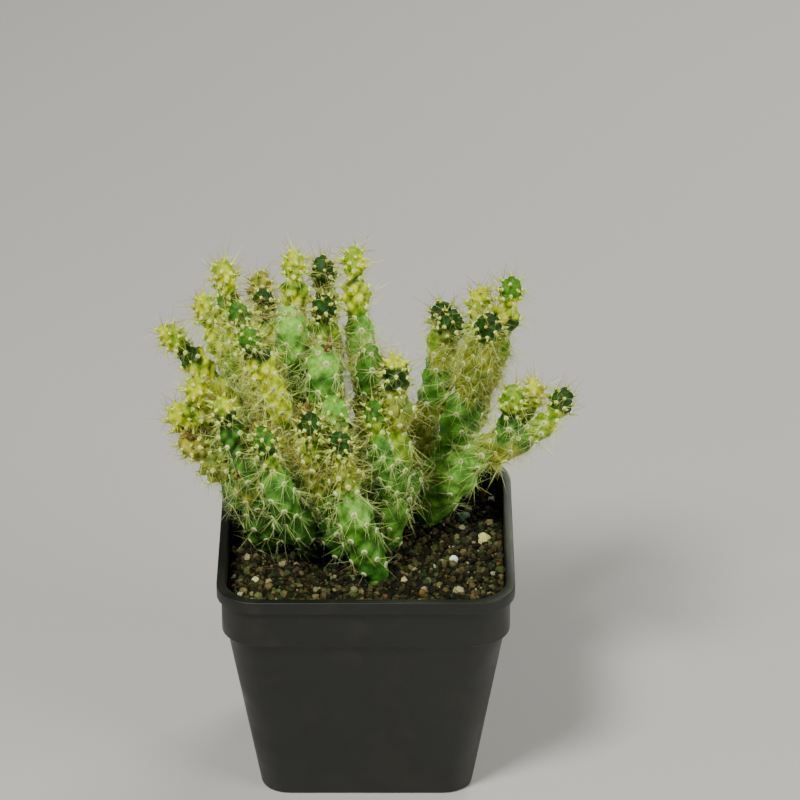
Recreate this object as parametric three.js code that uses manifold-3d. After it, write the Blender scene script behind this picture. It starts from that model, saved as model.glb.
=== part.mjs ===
// A variegated cane cholla in a square nursery pot: a crowd of jointed, tubercled stems in two clumps,
// standing in gritty soil. Millimetres, +Z up, with the origin in the middle of the pot's underside.
import * as THREE from "three";
import { mergeVertices } from "three/addons/utils/BufferGeometryUtils.js";
import Module from "manifold-3d";

const wasm = await Module();
wasm.setup();

// The pot: a thin moulded square cup, narrower at the foot, with a band and a rolled lip round its mouth.
const POT_HEIGHT = 76;
const LIP_SIDE = 91; // across the lip, outside
const LIP_DEPTH = 4;
const LIP_OUT = 1.4; // how far the lip stands out of the band under it
const BAND_DEPTH = 17; // from the top of the pot to the step under the band
const BAND_STEP = 1.6; // how far the band stands out of the wall under it
const BAND_SLOPE = 1; // height of the step
const LIP_BEVEL = 0.8;
const FOOT_SIDE = 66;
const WALL = 1.2;
const CORNER = 12; // radius of the lip's corners
const FOOT_CORNER = 9;
const FLOOR_LIFT = 3; // the middle of the underside is raised by this much on a rim of the wall's own foot
const FLOOR_PAD = 11; // half side of the flat pad under the middle, level with the foot
const PAD_CORNER = 4;
const FOOT_RIM = 2; // width of the rim that the pot stands on
const CORNER_STEPS = 4; // faces round each corner
const DRAIN_RADIUS = 4;
const DRAIN_SIDES = 10;
const DRAIN_AT = 20; // from the middle, along X and Y
const POT_COLOUR = 0x141414;

// The soil: a filled block that follows the pot's inside, with a gritty top.
const SOIL_LEVEL = 66;
const GAP = 0.35; // between pieces that touch
const GRIT = 0.8; // height of the bumps on the soil
const SOIL_CELLS = 16; // cells along each side of the soil's top
const BARE = 9; // the soil is smooth this near to the middle of a stem's foot
const PEBBLES = 16;
const PEBBLE_SIZE = [1.3, 2.3]; // smallest and largest radius
const PEBBLE_SINK = 0.3; // how far a pebble's middle lies under the soil's level
const SOIL_COLOUR = 0x3a2d20;

// The stems: joints of old growth below, and shorter, thinner joints of new growth at each tip.
const SIDES = 8; // sides of a stem, two for each column of tubercles
const ROW = 0.9; // from one row of tubercles to the next, in radii of the joint
const TWIST = 0.35; // how far each row turns round the stem, in sides
const BUMP = 0.17; // height of a tubercle on old growth, in radii
const YOUNG_BUMP = 0.3; // and on new growth, where the tubercles still stand out like beaks
const HOLLOW = 0.6; // depth of the skin between the tubercles, in their heights
const BEAK = 0.1; // how far a tubercle's top points up the stem, in radii
const PINCH = 0.74; // radius between two joints, in radii of the thinner one
const TIP_RADIUS = 0.45; // radius of the last row at a tip, in radii of its joint
const TIP_DOME = 0.4; // height of the dome over that row, in the row's radii
const OLD_JOINT = 24; // usual length of a joint of old growth
const TAPER = 0.1; // the lowest joint of old growth is thicker by this share, and the highest thinner
const ROOT_DEPTH = 7; // how far a stem stands in the soil
const ROOT_RADIUS = 3.7;
const ROOT_HOLE = 4.2; // radius of the hole that it stands in
const RISE = 1.5; // the root stays straight up to this height over the soil
const STEM_COLOURS = [0xa9b26a, 0xb9b23f, 0x8fa46a, 0xc2bc55]; // taken in turn

// The spines: one on every other tubercle or so, out to the tips.
const SPINE_ROOT = 0.34; // half the thickness of a spine where it leaves its tubercle
const SPINE_SHARE = 0.5; // the share of the tubercles that keep a spine
const SPINE_OLD = [5, 8.5]; // shortest and longest spine on old growth
const SPINE_YOUNG = [2.6, 5];
const SPINE_LEAN = [-0.5, 0.7]; // how far a spine leans down or up its stem, in its own reach out
const TIP_LEAN = 0.8; // added to the lean where a spine stands on the last row at a tip
const SPINE_SWING = 0.45; // how far it swings to either side
const SPINE_CLEAR = 0.9; // room kept between a spine and every other limb
const SPINES_APART = 1; // and between the spines of two stems

// Each stem is a smooth curve from its foot on the soil, through its waist, to its tip, as [x, y, height over
// the soil]. old is the radius of the old growth, and young lists the new joints from the tip down, as
// [length, radius]. A fork leaves its stem at a share of the stem's length, from, and is one body with it.
// Where a fork is given on, it leaves the fork of that number instead of the stem itself.
const STEMS = [
  {
    name: "stem_front",
    foot: [3, -14],
    waist: [-4, -18, 28],
    tip: [-8, -22, 55],
    old: 5.3,
    young: [[10, 2.7], [13, 3.5]],
  },
  {
    name: "stem_front_leaning",
    foot: [-6, -2],
    waist: [-13, -12, 34],
    tip: [-17, -22, 61],
    old: 4.8,
    young: [[10, 2.8], [13, 3.6]],
  },
  {
    name: "stem_low_left",
    foot: [-30, 8],
    waist: [-35, -9, 29],
    tip: [-44, -14, 63],
    old: 5,
    young: [[8, 2.6], [12, 3.6]],
    forks: [{ from: 0.3, waist: [-44, -7, 34], tip: [-56, -8, 46], old: 4.6, young: [[9, 2.8], [10, 3.8]] }],
  },
  {
    name: "stem_far_left",
    foot: [-34, 20],
    waist: [-38, 8, 40],
    tip: [-62, 8, 76],
    old: 4.7,
    young: [[10, 2.6], [12, 3.5]],
    forks: [
      { from: 0.5, waist: [-50, -1, 51], tip: [-51, -6, 65], old: 4.4, young: [[9, 2.9], [9, 3.7]] },
      { from: 0.35, waist: [-51, 1, 42], tip: [-58, -2, 54], old: 4.4, young: [[9, 3.2]] },
    ],
  },
  {
    name: "stem_yellow",
    foot: [-18, 2],
    waist: [-24, -5, 47],
    tip: [-36, -20, 89],
    old: 4.1,
    young: [[9, 2.6], [12, 3.5]],
    forks: [
      { from: 0.5, waist: [-34, 1, 68], tip: [-39, -1, 88], old: 4.1, young: [[9, 2.7], [10, 3.5]] },
      { from: 0.08, waist: [-25, -18, 29], tip: [-31, -22, 57], old: 5.3, young: [[13, 2.7]] },
    ],
  },
  {
    name: "stem_back_left",
    foot: [-27, 33],
    waist: [-38, 25, 46],
    tip: [-44, 22, 91.5],
    old: 4.5,
    young: [[11, 2.7], [12, 3.3]],
    forks: [{ from: 0.42, waist: [-46, 30, 60], tip: [-51, 33, 74], old: 4, young: [[10, 2.8], [10, 3.4]] }],
  },
  {
    name: "stem_dark_banded",
    foot: [-21, 20],
    waist: [-27, 21, 46],
    tip: [-32, 21, 82],
    old: 4.4,
    young: [[9, 2.6], [12, 3.6]],
    forks: [
      { from: 0.55, waist: [-31, 28, 66], tip: [-33, 33, 82], old: 3.8, young: [[10, 2.6], [10, 3.2]] },
    ],
  },
  {
    name: "stem_middle",
    foot: [-8, 17],
    waist: [-17, 7, 48],
    tip: [-24, 3, 84],
    old: 5.3,
    young: [],
  },
  {
    name: "stem_back",
    foot: [-9, 31],
    waist: [-12, 19, 46],
    tip: [-13, 10, 85],
    old: 4.4,
    young: [[8, 2.9], [11, 3.6]],
    forks: [
      { from: 0.5, waist: [-12, 31, 66], tip: [-14, 35, 86], old: 4.1, young: [[10, 2.9], [10, 3.5]] },
      { from: 0.3, waist: [-20, 20, 64], tip: [-22, 21, 95], old: 4.1, young: [[8, 2.6], [11, 3.5]] },
    ],
  },
  {
    name: "stem_tallest",
    foot: [8, 19],
    waist: [0, 18, 50],
    tip: [-4, 24, 95],
    old: 5,
    young: [[9, 2.5], [12, 3.4]],
    forks: [
      { from: 0.45, waist: [2, 8, 57], tip: [1, 5, 70], old: 4.8, young: [] },
      { from: 0.08, waist: [-8, -2, 40], tip: [-13, -4, 76], old: 5.6, young: [] },
      { on: 2, from: 0.48, waist: [-9, -10, 51], tip: [-10, -12, 62], old: 4, young: [[8, 3.2]] },
    ],
  },
  {
    name: "stem_right",
    foot: [5, 5],
    waist: [9, -5, 36],
    tip: [9, -4, 72],
    old: 4.9,
    young: [[12, 3.1], [12, 3.9]],
    forks: [
      { from: 0.3, waist: [5, -8, 41], tip: [2, -5, 57], old: 4, young: [[9, 2.8]] },
      { from: 0.27, waist: [13, 0, 25], tip: [15, 2, 29], old: 3, young: [] },
    ],
  },
  {
    name: "stem_right_branching",
    foot: [20, 22],
    waist: [31, 24, 42],
    tip: [38, 14, 76],
    old: 5.7,
    young: [[10, 3.2]],
    forks: [
      { from: 0.53, waist: [34, 31, 62], tip: [36, 34, 76], old: 4.2, young: [[10, 2.9]] },
      { from: 0.3, waist: [38, 28, 51], tip: [45, 24, 84], old: 4.6, young: [[9, 2.8], [11, 3.5]] },
      { from: 0.08, waist: [33, 11, 28], tip: [52, 5, 42], old: 5.6, young: [] },
      { on: 3, from: 0.78, waist: [44, 4, 47], tip: [45, 5, 57], old: 3.4, young: [[9, 2.7]] },
      { on: 3, from: 0.84, waist: [50, 11, 47], tip: [52, 12, 55], old: 3.4, young: [[9, 2.7]] },
      { on: 3, from: 0.88, waist: [56, 4, 46], tip: [61, 5, 56], old: 3.4, young: [[9, 2.8]] },
    ],
  },
  {
    name: "stem_right_left",
    foot: [10, 34],
    waist: [20, 34, 34],
    tip: [27, 33, 68],
    old: 5.5,
    young: [[10, 3.3]],
    forks: [{ from: 0.7, waist: [23, 37, 60], tip: [24, 38, 69], old: 3.9, young: [[8, 2.8]] }],
  },
];

// A number from 0 to 1 that is always the same for the same two numbers.
function draw(a, b) {
  const mixed = Math.sin(a * 127.1 + b * 311.7) * 43758.5453;
  return mixed - Math.floor(mixed);
}

function mix(a, b, share) {
  return a + (b - a) * share;
}

function geometryFrom(points, triangles) {
  const geometry = new THREE.BufferGeometry();
  geometry.setAttribute("position", new THREE.Float32BufferAttribute(points.flat(), 3));
  geometry.setIndex(triangles.flat());
  return geometry;
}

function solidFrom(geometry) {
  const bare = geometry.clone();
  bare.deleteAttribute("normal");
  bare.deleteAttribute("uv");
  const merged = mergeVertices(bare, 1e-4);
  return new wasm.Manifold(
    new wasm.Mesh({
      numProp: 3,
      vertProperties: new Float32Array(merged.attributes.position.array),
      triVerts: new Uint32Array(merged.index.array),
    }),
  );
}

function geometryOf(solid) {
  const mesh = solid.getMesh();
  const geometry = new THREE.BufferGeometry();
  geometry.setAttribute("position", new THREE.BufferAttribute(new Float32Array(mesh.vertProperties), 3));
  geometry.setIndex(new THREE.BufferAttribute(new Uint32Array(mesh.triVerts), 1));
  return geometry;
}

// An upright round solid to cut with, centred on x, y, z.
function plug(radius, height, sides, x, y, z) {
  const geometry = new THREE.CylinderGeometry(radius, radius, height, sides);
  return solidFrom(geometry.rotateX(Math.PI / 2).translate(x, y, z));
}

// One level ring of a square with rounded corners.
function squareRing(side, corner, z) {
  const ring = [];
  const reach = side / 2 - corner;
  for (let quarter = 0; quarter < 4; quarter++) {
    const towards = (quarter + 0.5) * (Math.PI / 2);
    const middle = [Math.sign(Math.cos(towards)) * reach, Math.sign(Math.sin(towards)) * reach];
    for (let step = 0; step <= CORNER_STEPS; step++) {
      const angle = (quarter + step / CORNER_STEPS) * (Math.PI / 2);
      ring.push([middle[0] + corner * Math.cos(angle), middle[1] + corner * Math.sin(angle), z]);
    }
  }
  return ring;
}

// A closed skin over rings of equally many points, with a middle point to close each end.
function skinOver(rings, firstMiddle, lastMiddle) {
  const points = rings.flat();
  const count = rings[0].length;
  const triangles = [];
  for (let row = 0; row + 1 < rings.length; row++)
    for (let i = 0; i < count; i++) {
      const next = (i + 1) % count;
      const a = row * count + i;
      const b = row * count + next;
      triangles.push([a, b, b + count], [a, b + count, a + count]);
    }
  const first = points.push(firstMiddle) - 1;
  const last = points.push(lastMiddle) - 1;
  const top = (rings.length - 1) * count;
  for (let i = 0; i < count; i++) {
    const next = (i + 1) % count;
    triangles.push([first, next, i], [last, top + i, top + next]);
  }
  return geometryFrom(points, triangles);
}

// The pot's outside, as the side and the corner radius at a height under the band.
function potSide(z) {
  return mix(FOOT_SIDE, LIP_SIDE - 2 * LIP_OUT - 2 * BAND_STEP, z / (POT_HEIGHT - BAND_DEPTH));
}

function potCorner(z) {
  return mix(FOOT_CORNER, CORNER - LIP_OUT, z / POT_HEIGHT);
}

function pot() {
  const shoulder = POT_HEIGHT - BAND_DEPTH;
  const band = LIP_SIDE - 2 * LIP_OUT;
  const bandCorner = CORNER - LIP_OUT;
  const under = POT_HEIGHT - LIP_DEPTH;
  const floor = FLOOR_LIFT + WALL;
  const outside = [
    squareRing(2 * FLOOR_PAD, PAD_CORNER, 0),
    squareRing(2 * (FLOOR_PAD + FLOOR_LIFT), PAD_CORNER, FLOOR_LIFT),
    squareRing(FOOT_SIDE - 4 * FOOT_RIM, FOOT_CORNER - 2 * FOOT_RIM, FLOOR_LIFT),
    squareRing(FOOT_SIDE - 2 * FOOT_RIM, FOOT_CORNER - FOOT_RIM, 0),
    squareRing(FOOT_SIDE, FOOT_CORNER, 0),
    squareRing(potSide(shoulder), potCorner(shoulder), shoulder),
    squareRing(band, bandCorner, shoulder + BAND_SLOPE),
    squareRing(band, bandCorner, under),
    squareRing(LIP_SIDE, CORNER, under),
    squareRing(LIP_SIDE, CORNER, POT_HEIGHT - LIP_BEVEL),
    squareRing(LIP_SIDE - 2 * LIP_BEVEL, CORNER - LIP_BEVEL, POT_HEIGHT),
    squareRing(band - 2 * WALL, bandCorner - WALL, POT_HEIGHT),
  ];
  const inside = [
    squareRing(band - 2 * WALL, bandCorner - WALL, shoulder + BAND_SLOPE + WALL),
    squareRing(potSide(shoulder) - 2 * WALL, potCorner(shoulder) - WALL, shoulder + WALL),
    squareRing(potSide(floor) - 2 * WALL, potCorner(floor) - WALL, floor),
  ];
  let cup = solidFrom(skinOver([...outside, ...inside], [0, 0, 0], [0, 0, floor]));
  for (const x of [-DRAIN_AT, DRAIN_AT])
    for (const y of [-DRAIN_AT, DRAIN_AT])
      cup = cup.subtract(plug(DRAIN_RADIUS, 4 * FLOOR_LIFT, DRAIN_SIDES, x, y, floor));
  return geometryOf(cup);
}

function nearestFoot(x, y) {
  return Math.min(...STEMS.map((stem) => Math.hypot(stem.foot[0] - x, stem.foot[1] - y)));
}

// How far the soil's top lies over its level at a place, less round the stems' feet.
function gritAt(x, y) {
  return nearestFoot(x, y) > BARE ? mix(-GRIT, GRIT, draw(x, y)) : -GRIT / 2;
}

// What is cut away over the soil: a block whose underside is the gritty surface.
function roomAbove() {
  const height = POT_HEIGHT - SOIL_LEVEL;
  const room = new THREE.BoxGeometry(LIP_SIDE, LIP_SIDE, height, SOIL_CELLS, SOIL_CELLS);
  const at = room.attributes.position;
  for (let i = 0; i < at.count; i++)
    if (at.getZ(i) < 0) at.setZ(i, at.getZ(i) + gritAt(Math.round(at.getX(i)), Math.round(at.getY(i))));
  return solidFrom(room.translate(0, 0, SOIL_LEVEL + height / 2));
}

// One of the larger stones in the grit, more than half sunk, away from the stems.
function pebble(i) {
  const reach = LIP_SIDE / 2 - BARE;
  const places = Array.from({ length: 40 }, (_, attempt) => [
    mix(-reach, reach, draw(i, 2 * attempt)),
    mix(-reach, reach, draw(i, 2 * attempt + 1)),
  ]);
  const [x, y] = places.find(([x, y]) => nearestFoot(x, y) > BARE + 2) ?? places[0];
  const stone = new THREE.IcosahedronGeometry(mix(...PEBBLE_SIZE, draw(i, 99)), 0);
  return solidFrom(stone.scale(1, 0.8, 0.8).rotateZ(i).translate(x, y, SOIL_LEVEL - PEBBLE_SINK));
}

function soil() {
  const band = LIP_SIDE - 2 * LIP_OUT;
  const shoulder = POT_HEIGHT - BAND_DEPTH;
  const bottom = FLOOR_LIFT + WALL + GAP;
  const top = SOIL_LEVEL + 2 * GRIT;
  const within = (side, corner, z) => squareRing(side - 2 * WALL - 2 * GAP, corner - WALL, z);
  const rings = [
    within(potSide(bottom), potCorner(bottom), bottom),
    within(potSide(shoulder), potCorner(shoulder), shoulder + WALL + GAP),
    within(band, CORNER - LIP_OUT, shoulder + BAND_SLOPE + WALL + GAP),
    within(band, CORNER - LIP_OUT, top),
  ];
  let filled = solidFrom(skinOver(rings, [0, 0, bottom], [0, 0, top])).subtract(roomAbove());
  for (let i = 0; i < PEBBLES; i++) filled = filled.add(pebble(i));
  for (const { foot } of STEMS)
    filled = filled.subtract(plug(ROOT_HOLE, 2 * (ROOT_DEPTH + GAP), SIDES, foot[0], foot[1], SOIL_LEVEL));
  return geometryOf(filled);
}

// The middle line of a stem or fork, from its start through its waist to its tip.
function middleLine(start, waist, tip) {
  const [through, end] = [waist, tip].map(([x, y, z]) => new THREE.Vector3(x, y, SOIL_LEVEL + z));
  const bend = through.clone().multiplyScalar(2).addScaledVector(start, -0.5).addScaledVector(end, -0.5);
  return new THREE.QuadraticBezierCurve3(start, bend, end);
}

// The joints along a line of this length, from its start to its tip.
function jointsAlong(length, old, young) {
  const fresh = young.map(([size, radius]) => ({ length: size, radius, young: true })).reverse();
  const rest = length - fresh.reduce((sum, joint) => sum + joint.length, 0);
  const count = Math.max(1, Math.round(rest / OLD_JOINT));
  const aged = Array.from({ length: count }, (_, i) => {
    const taper = count > 1 ? mix(TAPER, -TAPER, i / (count - 1)) : 0;
    return { length: rest / count, radius: old * (1 + taper), young: false };
  });
  return [...aged, ...fresh];
}

// The rows of tubercles along a line. Each joint swells between its two ends.
function rowsAlong(line, joints, startRadius) {
  const length = line.getLength();
  const rows = [];
  let from = 0;
  let low = startRadius;
  joints.forEach((joint, i) => {
    const next = joints[i + 1];
    const high = next ? PINCH * Math.min(joint.radius, next.radius) : TIP_RADIUS * joint.radius;
    const count = Math.max(3, Math.round(joint.length / (ROW * joint.radius)));
    for (let k = i ? 1 : 0; k <= count; k++) {
      const share = k / count;
      const swell = 1 - Math.abs(2 * share - 1) ** 3;
      const radius = mix(mix(low, high, share), joint.radius, swell);
      const bump = (joint.young ? YOUNG_BUMP : BUMP) * mix(0.35, 1, swell);
      const place = frameAt(line, Math.min(1, (from + share * joint.length) / length));
      rows.push({ ...place, radius, bump, young: joint.young });
    }
    from += joint.length;
    low = high;
  });
  return rows;
}

// A place on a line, with the direction along it and two directions across it.
function frameAt(line, share) {
  const middle = line.getPointAt(share);
  const along = line.getTangentAt(share);
  const across = new THREE.Vector3(0, 1, 0).cross(along).normalize();
  const away = along.clone().cross(across);
  return { middle, along, across, away };
}

// Every stem and fork as a limb, with its stem's name and its rows. A rooted limb's first row lies level.
function limbsOf(stem) {
  const foot = new THREE.Vector3(stem.foot[0], stem.foot[1], SOIL_LEVEL + RISE);
  const branches = [{ ...stem, line: middleLine(foot, stem.waist, stem.tip), rooted: true }];
  for (const fork of stem.forks ?? []) {
    const start = branches[fork.on ?? 0].line.getPointAt(fork.from);
    branches.push({ ...fork, line: middleLine(start, fork.waist, fork.tip), rooted: false });
  }
  return branches.map(({ line, old, young, rooted }) => {
    const joints = jointsAlong(line.getLength(), old, young);
    const rows = rowsAlong(line, joints, rooted ? ROOT_RADIUS : 0.6 * joints[0].radius);
    if (rooted) {
      rows[0].along = new THREE.Vector3(0, 0, 1);
      rows[0].across = new THREE.Vector3(1, 0, 0);
      rows[0].away = new THREE.Vector3(0, 1, 0);
    }
    return { stem: stem.name, rows, rooted };
  });
}

// The corners of each row of a limb. Every second one is raised as a tubercle.
function cornersOf(rows) {
  return rows.map(({ middle, along, across, away, radius, bump }, i) =>
    Array.from({ length: SIDES }, (_, j) => {
      const angle = ((j + TWIST * i) / SIDES) * 2 * Math.PI;
      const out = across.clone().multiplyScalar(Math.cos(angle)).addScaledVector(away, Math.sin(angle));
      const raised = (i + j) % 2 === 0;
      const reach = radius * (1 + (raised ? bump : -HOLLOW * bump));
      const at = middle.clone().addScaledVector(out, reach);
      if (raised) at.addScaledVector(along, BEAK * radius);
      return { at, out, raised, root: new Map() };
    }),
  );
}

function distanceToSegment(from, to, point) {
  const span = to.clone().sub(from);
  const share = THREE.MathUtils.clamp(point.clone().sub(from).dot(span) / span.lengthSq(), 0, 1);
  return from.clone().addScaledVector(span, share).distanceTo(point);
}

// How near two straight spines come to each other, tried at a few places along the first.
function betweenSpines(a, b) {
  const places = [0, 0.2, 0.4, 0.6, 0.8, 1].map((share) => a.from.clone().lerp(a.to, share));
  return Math.min(...places.map((place) => distanceToSegment(b.from, b.to, place)));
}

// Whether a spine has room over the soil, clear of the pot's wall, of every other limb and of the spines of
// other stems.
function hasRoom(spine) {
  const { from, to, limb } = spine;
  const wall = LIP_SIDE / 2 - LIP_OUT - WALL - SPINES_APART;
  if (Math.min(from.z, to.z) < SOIL_LEVEL + 2 * GRIT) return false;
  if (to.z < POT_HEIGHT + 1 && Math.max(Math.abs(to.x), Math.abs(to.y)) > wall) return false;
  const crowded = limbs.some(
    (other) =>
      other !== limb &&
      other.rows.some(
        ({ middle, radius, bump }) => distanceToSegment(from, to, middle) < radius * (1 + bump) + SPINE_CLEAR,
      ),
  );
  const crossed = spines.some(
    (other) => other.limb.stem !== limb.stem && betweenSpines(spine, other) < SPINES_APART,
  );
  return !crowded && !crossed;
}

// Gives its spines to a limb: a corner with a spine keeps the spine's tip.
function growSpines(limb, seed) {
  limb.corners.slice(1).forEach((corners, i) =>
    corners.forEach((corner, j) => {
      const chance = (k) => draw(seed * 50 + i, j * 10 + k);
      if (!corner.raised || chance(0) > SPINE_SHARE) return;
      const row = limb.rows[i + 1];
      const atTip = i + 2 === limb.rows.length;
      const lean = mix(...SPINE_LEAN, chance(1)) + (atTip ? TIP_LEAN : 0);
      const swing = mix(-SPINE_SWING, SPINE_SWING, chance(2));
      const aside = row.along.clone().cross(corner.out);
      const aim = corner.out.clone().addScaledVector(row.along, lean).addScaledVector(aside, swing);
      const size = mix(...(row.young ? SPINE_YOUNG : SPINE_OLD), chance(3));
      const to = corner.at.clone().addScaledVector(aim.normalize(), size);
      const spine = { limb, from: corner.at, to };
      if (!hasRoom(spine)) return;
      spines.push(spine);
      corner.spineTip = spine.to;
    }),
  );
}

// The corner of a spine's root that lies towards a neighbour of its tubercle.
function rootCorner(mesh, peak, neighbour) {
  if (!peak.root.has(neighbour)) {
    const towards = neighbour.at.clone().sub(peak.at).setLength(SPINE_ROOT);
    peak.root.set(neighbour, mesh.points.push(peak.at.clone().add(towards).toArray()) - 1);
  }
  return peak.root.get(neighbour);
}

// Adds a face. Where a corner carries a spine, the face stops short at the spine's root, and one side of the
// spine rises from there.
function addFace(mesh, a, b, c) {
  const turned = [[a, b, c], [b, c, a], [c, a, b]].find(([corner]) => corner.spineTip);
  if (!turned) {
    mesh.triangles.push([a.index, b.index, c.index]);
    return;
  }
  const [peak, left, right] = turned;
  const nearLeft = rootCorner(mesh, peak, left);
  const nearRight = rootCorner(mesh, peak, right);
  mesh.triangles.push([nearLeft, left.index, right.index]);
  mesh.triangles.push([nearLeft, right.index, nearRight]);
  mesh.triangles.push([peak.index, nearLeft, nearRight]);
}

// The skin of a limb with its spines, closed over its tip and under its start or its root.
function skinOfLimb({ rows, corners, rooted }) {
  const mesh = { points: [], triangles: [] };
  const place = (corner) => {
    corner.index = mesh.points.push((corner.spineTip ?? corner.at).toArray()) - 1;
    return corner;
  };
  corners.flat().forEach(place);
  for (let i = 0; i + 1 < corners.length; i++)
    for (let j = 0; j < SIDES; j++) {
      const next = (j + 1) % SIDES;
      const [a, b, c, d] = [corners[i][j], corners[i][next], corners[i + 1][next], corners[i + 1][j]];
      const faces = a.raised ? [[a, b, d], [b, c, d]] : [[a, b, c], [a, c, d]];
      faces.forEach((face) => addFace(mesh, ...face));
    }
  const last = rows.at(-1);
  const top = place({ at: last.middle.clone().addScaledVector(last.along, TIP_DOME * last.radius) });
  corners.at(-1).forEach((corner, j) => addFace(mesh, top, corner, corners.at(-1)[(j + 1) % SIDES]));
  const start = rows[0].middle;
  const depth = rooted ? SOIL_LEVEL - ROOT_DEPTH : start.z;
  const under = place({ at: new THREE.Vector3(start.x, start.y, depth) });
  const low = !rooted
    ? corners[0]
    : corners[0].map(({ out }) => place({ at: under.at.clone().addScaledVector(out, ROOT_RADIUS) }));
  low.forEach((corner, j) => {
    const next = (j + 1) % SIDES;
    addFace(mesh, under, low[next], corner);
    if (!rooted) return;
    addFace(mesh, corner, low[next], corners[0][next]);
    addFace(mesh, corner, corners[0][next], corners[0][j]);
  });
  return geometryFrom(mesh.points, mesh.triangles);
}

function stemOf(name) {
  const skins = limbs.filter((limb) => limb.stem === name).map((limb) => solidFrom(skinOfLimb(limb)));
  return geometryOf(skins.reduce((whole, skin) => whole.add(skin)));
}

const limbs = STEMS.flatMap(limbsOf);
const spines = [];
for (const limb of limbs) limb.corners = cornersOf(limb.rows);
limbs.forEach(growSpines);

const plant = new THREE.Group();

function addPiece(name, geometry, color, roughness) {
  const mesh = new THREE.Mesh(geometry, new THREE.MeshStandardMaterial({ color, roughness, metalness: 0 }));
  mesh.name = name;
  plant.add(mesh);
}

addPiece("pot", pot(), POT_COLOUR, 0.45);
addPiece("soil", soil(), SOIL_COLOUR, 0.95);
STEMS.forEach(({ name }, i) => addPiece(name, stemOf(name), STEM_COLOURS[i % STEM_COLOURS.length], 0.6));

export default plant;
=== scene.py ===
import math
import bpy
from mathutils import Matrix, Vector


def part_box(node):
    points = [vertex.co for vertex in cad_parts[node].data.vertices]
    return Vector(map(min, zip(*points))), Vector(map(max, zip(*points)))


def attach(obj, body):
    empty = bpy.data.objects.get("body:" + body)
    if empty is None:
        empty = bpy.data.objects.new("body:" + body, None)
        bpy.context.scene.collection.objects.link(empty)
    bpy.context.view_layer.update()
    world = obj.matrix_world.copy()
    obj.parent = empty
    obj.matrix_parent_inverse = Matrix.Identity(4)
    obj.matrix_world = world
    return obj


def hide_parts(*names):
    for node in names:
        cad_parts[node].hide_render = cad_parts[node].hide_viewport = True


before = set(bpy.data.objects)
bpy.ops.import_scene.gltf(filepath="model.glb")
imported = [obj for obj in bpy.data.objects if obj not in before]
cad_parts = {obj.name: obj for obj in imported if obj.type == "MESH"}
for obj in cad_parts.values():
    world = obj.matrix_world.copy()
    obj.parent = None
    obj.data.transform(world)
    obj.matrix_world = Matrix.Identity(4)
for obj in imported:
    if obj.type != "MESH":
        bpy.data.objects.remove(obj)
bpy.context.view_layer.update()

from types import SimpleNamespace

import bpy
import numpy as np
from mathutils import Vector, kdtree, noise

# The pot. A square nursery pot, injection-moulded in one thin piece of black polypropylene: a tapering cup
# with a stacking band and a rolled lip round its mouth, and a raised floor with four round drain holes.
# The mould's fine spark-eroded grain gives a soft satin sheen, and dry soil dust clings to it.
MM = 0.001  # metres; every other length below is in mm
pot_low, pot_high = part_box("pot")
LIP_SIDE = (pot_high.x - pot_low.x) / MM
POT_HEIGHT = pot_high.z / MM
LIP_OUT = 1.4  # how far the lip stands out from the band
LIP_DEPTH = 4
BAND_DEPTH = 17  # from the rim down to the pot's shoulder, lip and all
BAND_STEP = 1.6  # how far the band stands out from the tapering wall
BAND_SLOPE = 1  # height of the slope under the band
FOOT_SIDE = 66
FOOT_CORNER = 9  # radius of the foot's corners
FOOT_RIM = 2  # width of the rim that the pot stands on
FLOOR_LIFT = 3  # how high the floor is raised inside the rim
FLOOR_PAD = 22  # side of the flat pad in the middle of the floor
WALL = 1.2
DRAIN_RADIUS = 4
DRAIN_AT = 20  # from the pot's middle to each drain hole, across and back
EDGE_ROUND = 0.45
SHARP = math.radians(35)  # edges that turn more than this are rounded
shoulder = POT_HEIGHT - BAND_DEPTH
band_side = LIP_SIDE - 2 * LIP_OUT
wall_top = band_side - 2 * BAND_STEP
floor_top = FLOOR_LIFT + WALL
floor_side = FOOT_SIDE + (wall_top - FOOT_SIDE) * floor_top / shoulder - 2 * WALL


def linear(hex_colour):
    """An sRGB hex colour as the linear RGBA that a shader socket takes."""
    levels = [int(hex_colour[i : i + 2], 16) / 255 for i in (1, 3, 5)]
    return [c / 12.92 if c <= 0.04045 else ((c + 0.055) / 1.055) ** 2.4 for c in levels] + [1]


def rgb(hex_colour):
    """The same without alpha, as an array."""
    return np.array(linear(hex_colour)[:3])


def add_node(tree, kind, inputs=None, **settings):
    """Adds a node. Each input is a value or the output socket that feeds it."""
    made = tree.nodes.new(kind)
    for name, value in settings.items():
        setattr(made, name, value)
    for name, value in (inputs or {}).items():
        if isinstance(value, bpy.types.NodeSocket):
            tree.links.new(value, made.inputs[name])
        else:
            made.inputs[name].default_value = value
    return made


def new_material(name):
    """A material's node tree, emptied but for its shader and its output."""
    material = bpy.data.materials.new(name)
    material.use_nodes = True
    return material, material.node_tree, material.node_tree.nodes["Principled BSDF"]


def remap(tree, value, low, high, to_low, to_high):
    """A value between two limits, turned into one between two others."""
    limits = {"Value": value, "From Min": low, "From Max": high, "To Min": to_low, "To Max": to_high}
    return add_node(tree, "ShaderNodeMapRange", limits).outputs["Result"]


def blend(tree, share, first, second):
    """A mix of two colours, by the second one's share."""
    colours = {"Factor": share, "A": first, "B": second}
    return add_node(tree, "ShaderNodeMix", colours, data_type="RGBA").outputs["Result"]


def combine(tree, operation, first, second):
    return add_node(tree, "ShaderNodeMath", {0: first, 1: second}, operation=operation).outputs["Value"]


def dim(tree, colour, light):
    """A colour made lighter or darker by a factor."""
    inputs = {0: colour, "Scale": light}
    return add_node(tree, "ShaderNodeVectorMath", inputs, operation="SCALE").outputs["Vector"]


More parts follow.
